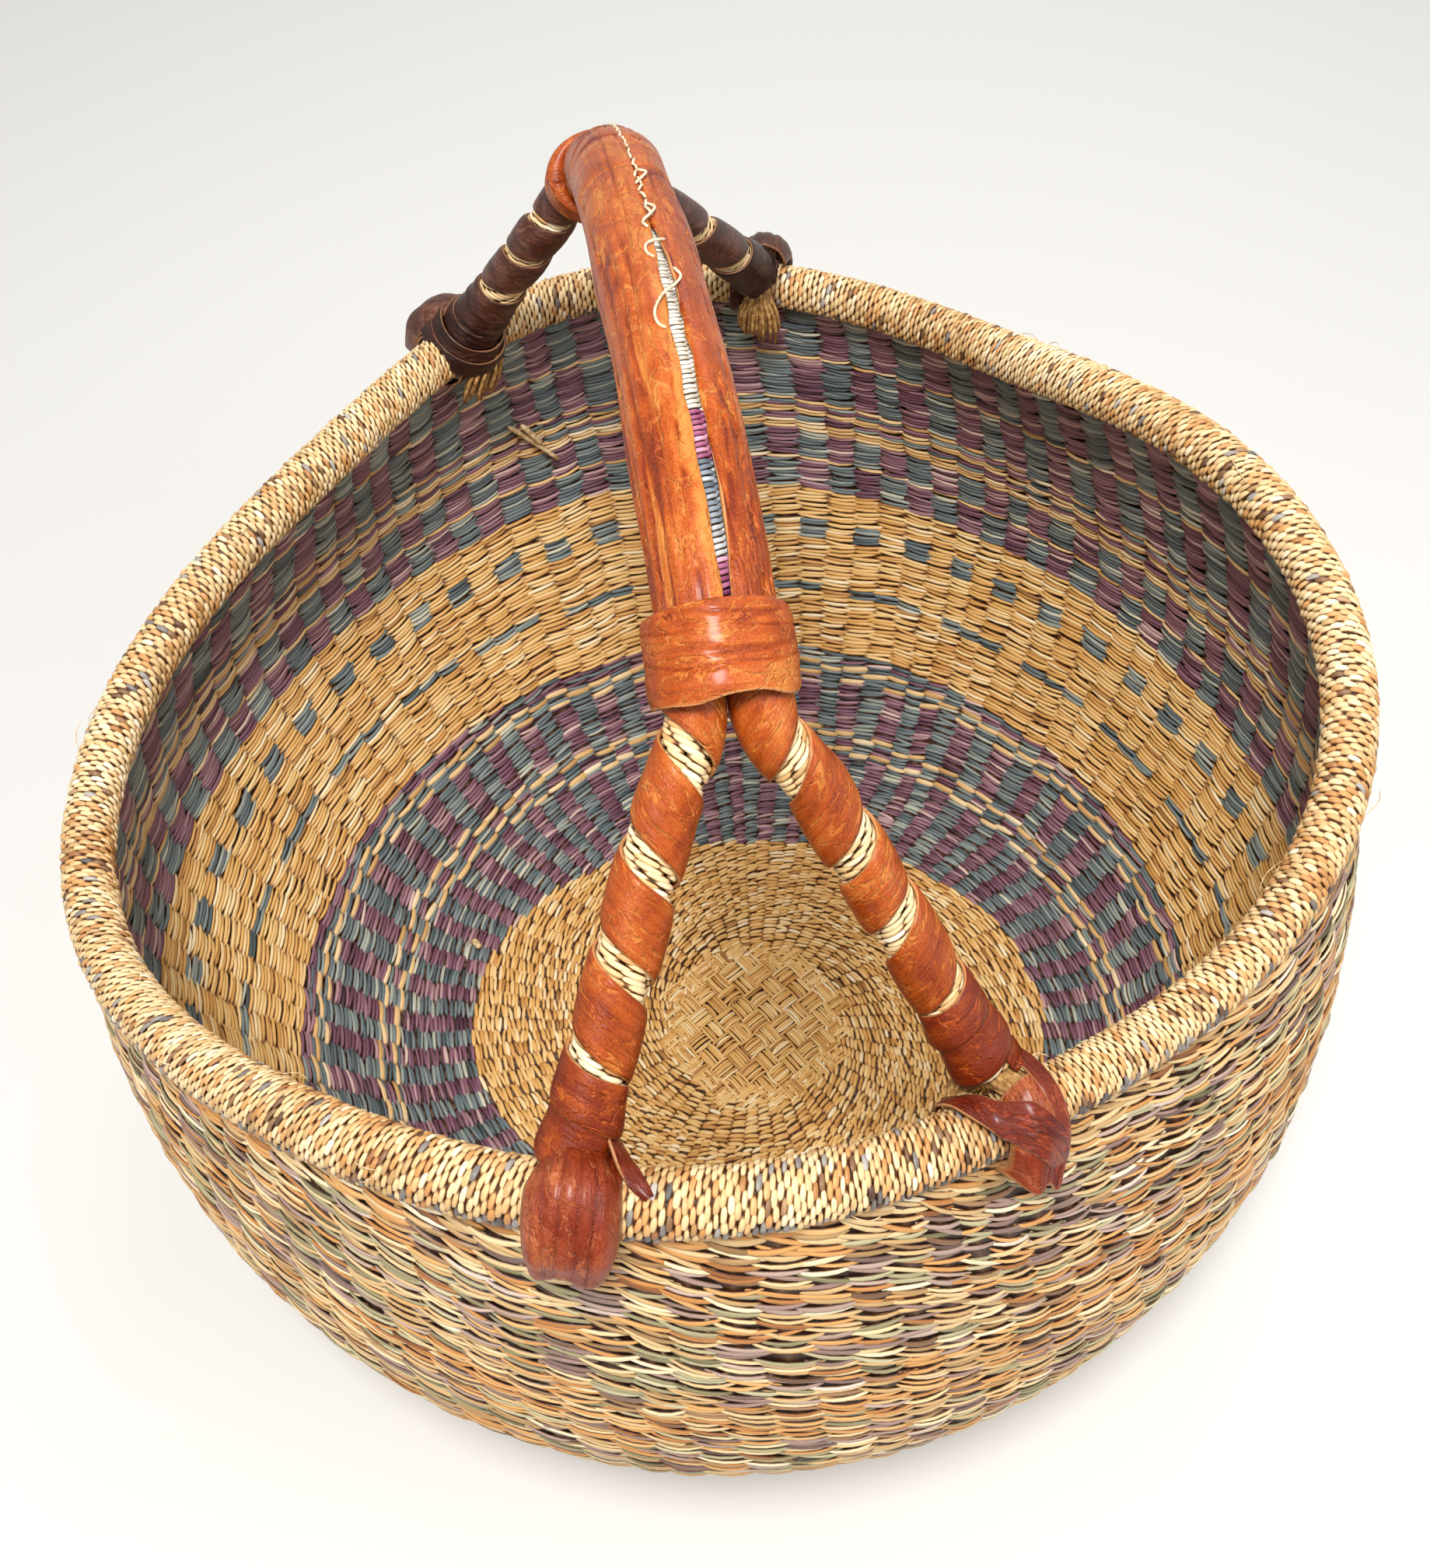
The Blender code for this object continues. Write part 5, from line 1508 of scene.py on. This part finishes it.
class BASKET_OT_caps(bpy.types.Operator):
    """Fold the leather caps over the feet."""

    bl_idname = "basket.caps"
    bl_label = "Foot caps"

    def execute(self, context):
        for index, name in enumerate(FEET):
            foot = Foot(name)
            rows, columns = 60, 41
            crest = TAIL_RADIUS + 1.4 * MM
            shares, widths, lean, start = CAP_SHAPES[name]
            first_turn = foot.arrival - math.radians(start)
            arc_length = first_turn * (SADDLE_REACH + crest)
            full = arc_length + foot.cap_drop
            s = np.linspace(0, 1, rows)[:, None]
            a = np.linspace(-1, 1, columns)[None, :]
            travel = s * full
            turn = first_turn * (1 - np.clip(travel / arc_length, 0, 1))
            drop = np.clip(travel - arc_length, 0, None)
            drop_share = drop / (foot.cap_drop + TAIL_TIP)
            base = np.where(drop > 0, outer_tail_x(drop_share), SADDLE_REACH)
            face = 4.7 * MM + (STRAP_REACH + 1.9 * MM - 4.7 * MM) * (1 - drop_share)
            clear = np.sqrt(np.clip((STRAP_REACH + 1.9 * MM) ** 2 - drop ** 2, 0, None))
            low_edge = np.where(drop > 0, np.maximum(face, clear), STRAP_REACH + 1.9 * MM)
            flat = 2.6 + 5.0 * smooth((s - 0.45) / 0.5)
            bulge = (1 - np.abs(a) ** flat) ** 0.7
            high = base + crest
            fold = 0.0
            for middle, lean, size in ((-0.62, 0.10, 0.7), (-0.22, -0.06, 1.0), (0.12, 0.05, 0.6), (0.48, -0.12, 1.0)):
                off = (a - middle - lean * s - 0.06 * ripple(71 + index, s * 0.8, middle)) / 0.10
                fold = fold + size * np.exp(-off ** 2)
            fold = fold * smooth(s * 3)
            creases = 0.40 * MM * ripple(81 + index, a * 1.6, s * 1.2) - 0.60 * MM * fold
            reach = low_edge + (high - low_edge) * bulge + creases * (1 - np.abs(a) ** 6)
            reach = reach - 2.6 * MM * (1 - smooth((s - 0.10) / 0.28)) * (name == "front_left")
            width = foot.cap_width / 2 * (np.interp(s, shares, widths) + 0.02 * ripple(91 + index, s * 0.8))
            aslant = lean * MM * (1.6 - smooth(s / 0.45))
            lobes = 1.3 * MM * np.cos((a - 0.42) * 5.6) - 1.8 * MM * np.abs(a) ** 8 + 0.9 * MM * a
            lobes = lobes * smooth((s - 0.8) / 0.2)
            x = reach * np.cos(turn)
            y = reach * np.sin(turn) - drop - lobes
            points = foot.point(x, y, width * a + aslant)
            fibre = np.stack(np.broadcast_arrays(travel * 1000, a * 12, 0.9 + index), -1)
            depth = smooth((1 - np.abs(a)) * 7) * smooth(s * 14) * smooth((1 - s) * 14)
            # Painted shade: the cap darkens in its folds.
            tone = 0.06 + 0.10 * ripple(77 + index, a * 0.4, s * 0.4) - 0.15 * fold
            shape = points.shape[:2]
            maps = {"place": place_of(*shape), "fibre": fibre, "tone": np.broadcast_to(tone, shape), "depth": depth}
            kind = "dark" if foot.end == "front" else "umber"
            made = grid_object("leather_cap_" + name, points, maps, [leather_finish(kind)], flip=False)
            close_edges(made, 1.0 * MM)
            apply_modifiers(made)
            dress(made, "dark_leather", "foot_cap_" + name)
        return {"FINISHED"}


class BASKET_OT_straps(bpy.types.Operator):
    """Tie a leather strap round the rim beside each foot."""

    bl_idname = "basket.straps"
    bl_label = "Foot straps"

    def execute(self, context):
        for index, (name, values) in enumerate(FEET.items()):
            angle, side = values[0], values[2]
            kind = "dark" if values[1] == "front" else "umber"
            centre, out, down, along = foot_frame(angle + side * STRAP_OFFSET / MOUTH_RADIUS)
            rows, columns = 96, 11
            turn = np.linspace(0, math.tau, rows, endpoint=False)[:, None]
            a = np.linspace(-1, 1, columns)[None, :]
            lift = STRAP_REACH + 0.9 * MM + 0.25 * MM * (1 - a ** 2) + 0.12 * MM * ripple(
                41 + index, np.cos(turn) * 1.5, np.sin(turn) * 1.5)
            way = out * np.cos(turn)[..., None] - down * np.sin(turn)[..., None]
            points = centre + way * lift[..., None] + along * (a * STRAP_WIDTH / 2)[..., None]
            shape = points.shape[:2]
            fibre = np.stack(np.broadcast_arrays(turn * 10, a * 2.4, 0.2 + index), -1)
            maps = {"place": place_of(*shape), "fibre": fibre, "tone": np.full(shape, -0.15),
                    "depth": np.broadcast_to(smooth((1 - np.abs(a)) * 4), shape)}
            made = grid_object("leather_strap_" + name, points, maps, [leather_finish(kind)],
                               flip=True, round_rows=True)
            close_edges(made, 0.8 * MM)
            apply_modifiers(made)
            dress(made, "dark_leather", "foot_strap_" + name)
        return {"FINISHED"}


# The leather strips tied over each foot, as keys along each one: degrees round the rim from its
# outside, then millimetres along the rim from the foot, off the rim, and wide
FOOT_BANDS = {
    "front_left": (
        ((150, 6.0, 1.0, 5), (120, 9.0, 0.9, 6), (92, 12.5, 0.6, 5.5), (70, 16.0, 0.3, 3.5), (56, 18.5, 0.1, 1.2)),
    ),
    "front_right": (
        ((128, 1, 2.0, 5), (100, 3, 1.6, 7), (75, 3.5, 1.3, 8), (50, 4, 1.0, 8.5), (25, 4.5, 0.7, 8.5),
         (5, 5, 0.3, 8), (-15, 5.5, 0, 7)),
        ((150, -13, 0, 5), (115, -16, 0.2, 6.5), (85, -15.5, 0.4, 7.5), (58, -14, 0.6, 8), (40, -11.5, 0.9, 8),
         (24, -7.5, 1.2, 8.5), (8, -2.5, 1.1, 8.5), (-8, 3, 0.5, 8), (-28, 8, 0, 7)),
    ),
}
BAND_SPREAD = {"front_left": 0.0135, "front_right": 0.0135}


class BASKET_OT_bands(bpy.types.Operator):
    """Tie leather strips over the feet, down over the rim."""

    bl_idname = "basket.bands"
    bl_label = "Foot bands"

    def execute(self, context):
        for name, bands in FOOT_BANDS.items():
            foot = Foot(name)
            kind = "dark" if foot.end == "front" else "umber"
            for index, keys in enumerate(bands):
                rows, columns = 90, 15
                seed = 300 + 10 * index
                line = curve_through(keys, rows)
                turn = np.radians(line[:, :1])
                along, off, wide = line[:, 1:2] * MM, line[:, 2:3] * MM, line[:, 3:4] * MM
                over = STRAP_REACH + 4 * MM
                run_round, run_along = np.gradient(turn, axis=0) * over, np.gradient(along, axis=0)
                size = np.hypot(run_round, run_along)
                a = np.linspace(-1, 1, columns)[None, :]
                aside = a * wide / 2 * (1 + 0.05 * ripple(seed + 7, np.linspace(0, 4, rows)[:, None]))
                turn = turn - run_along / size * aside / over
                along = along + run_round / size * aside
                hump = smooth((BAND_SPREAD[name] - np.abs(along)) / 0.009)
                reach = STRAP_REACH + 0.7 * MM + hump * (SADDLE_REACH + TAIL_RADIUS - STRAP_REACH) + off
                reach = reach + 0.45 * MM * (1 - a ** 2) + 0.18 * MM * ripple(seed, turn * 0.8, a * 0.4)
                points = foot.point(reach * np.cos(turn), reach * np.sin(turn), along)
                shape = points.shape[:2]
                fibre = np.stack(np.broadcast_arrays(turn * 15, a * wide * 500, 0.4 + seed), -1)
                tone = -0.12 + 0.05 * ripple(seed + 3, turn * 0.5, a * 0.3)
                maps = {"place": place_of(*shape), "fibre": fibre, "tone": np.broadcast_to(tone, shape),
                        "depth": np.broadcast_to(smooth((1 - np.abs(a)) * 4.5), shape)}
                full = "leather_band_%s_%d" % (name, index)
                made = grid_object(full, points, maps, [leather_finish(kind)], flip=True)
                close_edges(made, 0.9 * MM)
                apply_modifiers(made)
                dress(made, "dark_leather")
        return {"FINISHED"}


class BASKET_OT_stubs(bpy.types.Operator):
    """Bundle the loose grass stems of each leg, split over the rim."""

    bl_idname = "basket.stubs"
    bl_label = "Foot stems"

    def execute(self, context):
        for index, name in enumerate(FEET):
            foot = Foot(name)
            rng = np.random.default_rng(weave_settings().seed + 30 + index)
            runs = []
            for _ in range(44):
                spread = math.sqrt(rng.uniform()) * (TAIL_RADIUS - 0.7 * MM)
                way = rng.uniform(0, math.tau)
                sideways, outward = spread * math.cos(way), spread * math.sin(way)
                ragged = rng.uniform(-5.5, 0.5) * MM
                reach = SADDLE_REACH + outward
                tail = INNER_TAIL * (0.68 if foot.end == "rear" else 1.0)
                path = [(-reach - 0.4 * MM * rng.normal(), -tail - ragged), (-reach, -tail * 0.5)]
                for turn in np.linspace(math.pi, 0, 9):
                    path.append((reach * math.cos(turn), reach * math.sin(turn)))
                for share in (0.3, 0.6, 0.9):
                    path.append((outer_tail_x(share) + outward, -(foot.cap_drop + TAIL_TIP) * share))
                x, y = np.array(path).T
                spread_out = 1.7 if foot.end == "rear" else 0.25
                splay = sideways * (1 + spread_out * smooth((0.010 - y) / 0.014) * (x < 0))
                runs.append(foot.point(x, y, splay))
            path = foot.path
            for _ in range(40):
                spread = math.sqrt(rng.uniform()) * (FOOT_CORE_RADIUS - 0.7 * MM)
                way = rng.uniform(0, math.tau)
                length = np.linspace(path.length[-1] - 0.020, path.length[-1], 6)
                radius = np.interp(length, path.length, path.radii)
                leg = path.point(length, way, spread - radius)
                onward = leg[-1] + foot.run * (LEG_STOPS[name] + 0.002)
                runs.append(np.vstack([leg, onward]))
            made = thread_tube("grass_stems_" + name, runs, 0.90 * MM, stem_material(), sides=5)
            dress(made, "grass_bundle", "leg_core_" + name)
        return {"FINISHED"}


STEM_COLOURS = {
    "cut_grass_stem": ("#6E4A28", "#AE8048", "#D8B272"),
    "bleached_straw": ("#B08A58", "#DDBE8C", "#F2E2BC"),
}


def stem_material(name="cut_grass_stem"):
    """Cut dry grass stems: straw yellow with brown streaks and a faint natural gloss."""
    if name in bpy.data.materials:
        return bpy.data.materials[name]
    made, tree, shader = fresh_material(name)
    dark, middle, pale = STEM_COLOURS[name]
    place = add(tree, "ShaderNodeTexCoord").outputs["Object"]
    streak = add(tree, "ShaderNodeTexNoise", links={"Vector": place}, values={"Scale": 500.0, "Detail": 4.0})
    colour = ramp(tree, streak.outputs["Fac"], ((0.3, dark), (0.5, middle), (0.7, pale)))
    bump = add(tree, "ShaderNodeBump", values={"Strength": 0.4, "Distance": 0.0002},
               links={"Height": streak.outputs["Fac"]})
    tree.links.new(colour, shader.inputs["Base Color"])
    tree.links.new(bump.outputs["Normal"], shader.inputs["Normal"])
    shader.inputs["Roughness"].default_value = 0.6
    return made


# Loose straws caught inside: degrees round and millimetres up the wall at each end, and half their width
STRAWS = (
    ((115.2, 362.0), (110.0, 331.0), 1.2),
    ((113.6, 361.0), (111.6, 345.0), 1.4),
    ((162.0, 139.8), (163.2, 134.8), 1.7),
)


class BASKET_OT_loose_ends(bpy.types.Operator):
    """Leave a few loose straws on the weave and short hairs on the rim's cord."""

    bl_idname = "basket.loose_ends"
    bl_label = "Loose ends"

    def execute(self, context):
        rng = np.random.default_rng(weave_settings().seed + 50)
        for number, (first, last, half) in enumerate(STRAWS):
            share = np.linspace(0, 1, 9)
            angle = np.radians(first[0] + (last[0] - first[0]) * share)
            length = (first[1] + (last[1] - first[1]) * share) * MM
            lift = -(5.4 + 1.2 * number * (number < 2) + 0.5 * share) * MM
            run = CURVE.point(angle, length, lift)
            made = thread_tube("straw_%d" % number, [run], half * MM, stem_material("bleached_straw"))
            dress(made, "woven_grass")
        runs = []
        for _ in range(26):
            share = np.linspace(0, 1, 10)
            angle = rng.uniform(0, math.tau) + share * rng.uniform(0.02, 0.06) * rng.choice((-1, 1))
            turn = rng.uniform(-0.6, 2.6) + share * rng.normal(0, 0.5)
            reach = RIM_RADIUS + (0.3 + rng.uniform(1.5, 4.5) * np.sin(share * rng.uniform(1.6, 2.9))) * MM
            runs.append(rim_point(angle, turn, reach))
        made = thread_tube("rim_hairs", runs, 0.16 * MM, stem_material("bleached_straw"), sides=5)
        dress(made, "twisted_grass_cord")
        return {"FINISHED"}


# The studio


def aim(made, place, target, roll=0.0):
    """Put a camera or lamp at a place and point it at a target."""
    place, target = Vector(place), Vector(target)
    turn = (target - place).to_track_quat("-Z", "Y").to_matrix().to_4x4()
    made.matrix_world = Matrix.Translation(place) @ turn @ Matrix.Rotation(roll, 4, "Z")


class BASKET_OT_stage(bpy.types.Operator):
    """Set up the floor, the soft light and the camera."""

    bl_idname = "basket.stage"
    bl_label = "Stage"

    def execute(self, context):
        scene = context.scene
        finish = finish_settings()

        mesh = bpy.data.meshes.new("floor")
        builder = bmesh.new()
        bmesh.ops.create_grid(builder, x_segments=8, y_segments=8, size=6.0)
        builder.to_mesh(mesh)
        builder.free()
        floor = link("floor", mesh)
        floor.location.z = -0.0002
        mesh.materials.append(self.floor_material(finish.floor))

        world = bpy.data.worlds.new("studio")
        scene.world = world
        world.use_nodes = True
        tree = world.node_tree
        tree.nodes.clear()
        light = add(tree, "ShaderNodeBackground", values={"Color": (1.0, 1.0, 1.0, 1.0), "Strength": 0.57})
        seen = add(tree, "ShaderNodeBackground", values={"Color": tuple(finish.floor), "Strength": 1.0})
        rays = add(tree, "ShaderNodeLightPath")
        shown = add(tree, "ShaderNodeMath", operation="MAXIMUM",
                    links={0: rays.outputs["Is Camera Ray"], 1: rays.outputs["Is Glossy Ray"]})
        shown = add(tree, "ShaderNodeMath", operation="MAXIMUM",
                    links={0: shown.outputs["Value"], 1: rays.outputs["Is Transmission Ray"]})
        mixed = add(tree, "ShaderNodeMixShader", links={0: shown.outputs["Value"], 1: light.outputs[0], 2: seen.outputs[0]})
        add(tree, "ShaderNodeOutputWorld", links={"Surface": mixed.outputs[0]})

        lamps = (
            ("key", (-0.10, -0.48, 1.35), 0.30, finish.key),
            ("fill", (0.95, -0.45, 1.1), 0.8, finish.key * 0.22),
            ("back", (0.2, 1.1, 1.2), 0.8, finish.key * 0.25),
        )
        for name, place, size, power in lamps:
            lamp = bpy.data.lights.new(name, "AREA")
            lamp.shape = "DISK"
            lamp.size = size
            lamp.energy = power
            made = bpy.data.objects.new(name, lamp)
            scene.collection.objects.link(made)
            aim(made, place, (0.0, 0.0, 0.15))

        camera = bpy.data.cameras.new("camera")
        camera.sensor_fit = "AUTO"
        camera.sensor_width = SENSOR_MM
        camera.lens = FOCAL_PX * SENSOR_MM / FRAME_HEIGHT_PX
        camera.clip_start = 0.01
        camera.clip_end = 50.0
        made = bpy.data.objects.new("camera", camera)
        scene.collection.objects.link(made)
        aim(made, CAMERA_PLACE, CAMERA_TARGET, CAMERA_ROLL)
        scene.camera = made
        scene.view_settings.view_transform = "Standard"
        return {"FINISHED"}

    def floor_material(self, colour):
        """Matt painted board: nearly even, with a faint mottle of the roller."""
        made, tree, shader = fresh_material("matt_painted_board")
        place = add(tree, "ShaderNodeTexCoord").outputs["Object"]
        mottle = add(tree, "ShaderNodeTexNoise", links={"Vector": place}, values={"Scale": 60.0, "Detail": 4.0})
        bump = add(tree, "ShaderNodeBump", values={"Strength": 0.05, "Distance": 0.001},
                   links={"Height": mottle.outputs["Fac"]})
        tree.links.new(bump.outputs["Normal"], shader.inputs["Normal"])
        shader.inputs["Base Color"].default_value = tuple(colour)
        shader.inputs["Roughness"].default_value = 0.9
        shader.inputs["Specular IOR Level"].default_value = 0.2
        return made


class BASKET_PT_panel(bpy.types.Panel):
    """The basket's settings and its steps."""

    bl_idname = "BASKET_PT_panel"
    bl_label = "Woven basket"
    bl_space_type = "VIEW_3D"
    bl_region_type = "UI"
    bl_category = "Basket"

    def draw(self, context):
        layout = self.layout
        for group, keys in ((context.scene.basket_weave, ("stakes", "course", "cord", "seed")),
                            (context.scene.basket_finish, ("tan", "dark", "umber", "floor", "key"))):
            for key in keys:
                layout.prop(group, key)
        for operator in STEPS:
            layout.operator(operator.bl_idname)


STEPS = (
    BASKET_OT_stage,
    BASKET_OT_stakes,
    BASKET_OT_inner_weave,
    BASKET_OT_outer_weave,
    BASKET_OT_centre,
    BASKET_OT_underside,
    BASKET_OT_rim,
    BASKET_OT_sheath,
    BASKET_OT_grip_cord,
    BASKET_OT_stitches,
    BASKET_OT_collars,
    BASKET_OT_leg_cord,
    BASKET_OT_leg_wraps,
    BASKET_OT_stubs,
    BASKET_OT_caps,
    BASKET_OT_straps,
    BASKET_OT_bands,
    BASKET_OT_loose_ends,
)
CLASSES = (BasketWeaveSettings, BasketFinishSettings) + STEPS + (BASKET_PT_panel,)


def register():
    for cls in CLASSES:
        bpy.utils.register_class(cls)
    bpy.types.Scene.basket_weave = PointerProperty(type=BasketWeaveSettings)
    bpy.types.Scene.basket_finish = PointerProperty(type=BasketFinishSettings)


def unregister():
    del bpy.types.Scene.basket_weave
    del bpy.types.Scene.basket_finish
    for cls in reversed(CLASSES):
        bpy.utils.unregister_class(cls)


def main():
    register()
    bpy.ops.basket.stage()
    bpy.ops.basket.stakes()
    bpy.ops.basket.inner_weave()
    bpy.ops.basket.outer_weave()
    bpy.ops.basket.centre()
    bpy.ops.basket.underside()
    bpy.ops.basket.rim()
    bpy.ops.basket.sheath()
    bpy.ops.basket.grip_cord()
    bpy.ops.basket.stitches()
    bpy.ops.basket.collars()
    bpy.ops.basket.leg_cord()
    bpy.ops.basket.leg_wraps()
    bpy.ops.basket.stubs()
    bpy.ops.basket.caps()
    bpy.ops.basket.straps()
    bpy.ops.basket.bands()
    bpy.ops.basket.loose_ends()


if __name__ == "__main__":
    main()
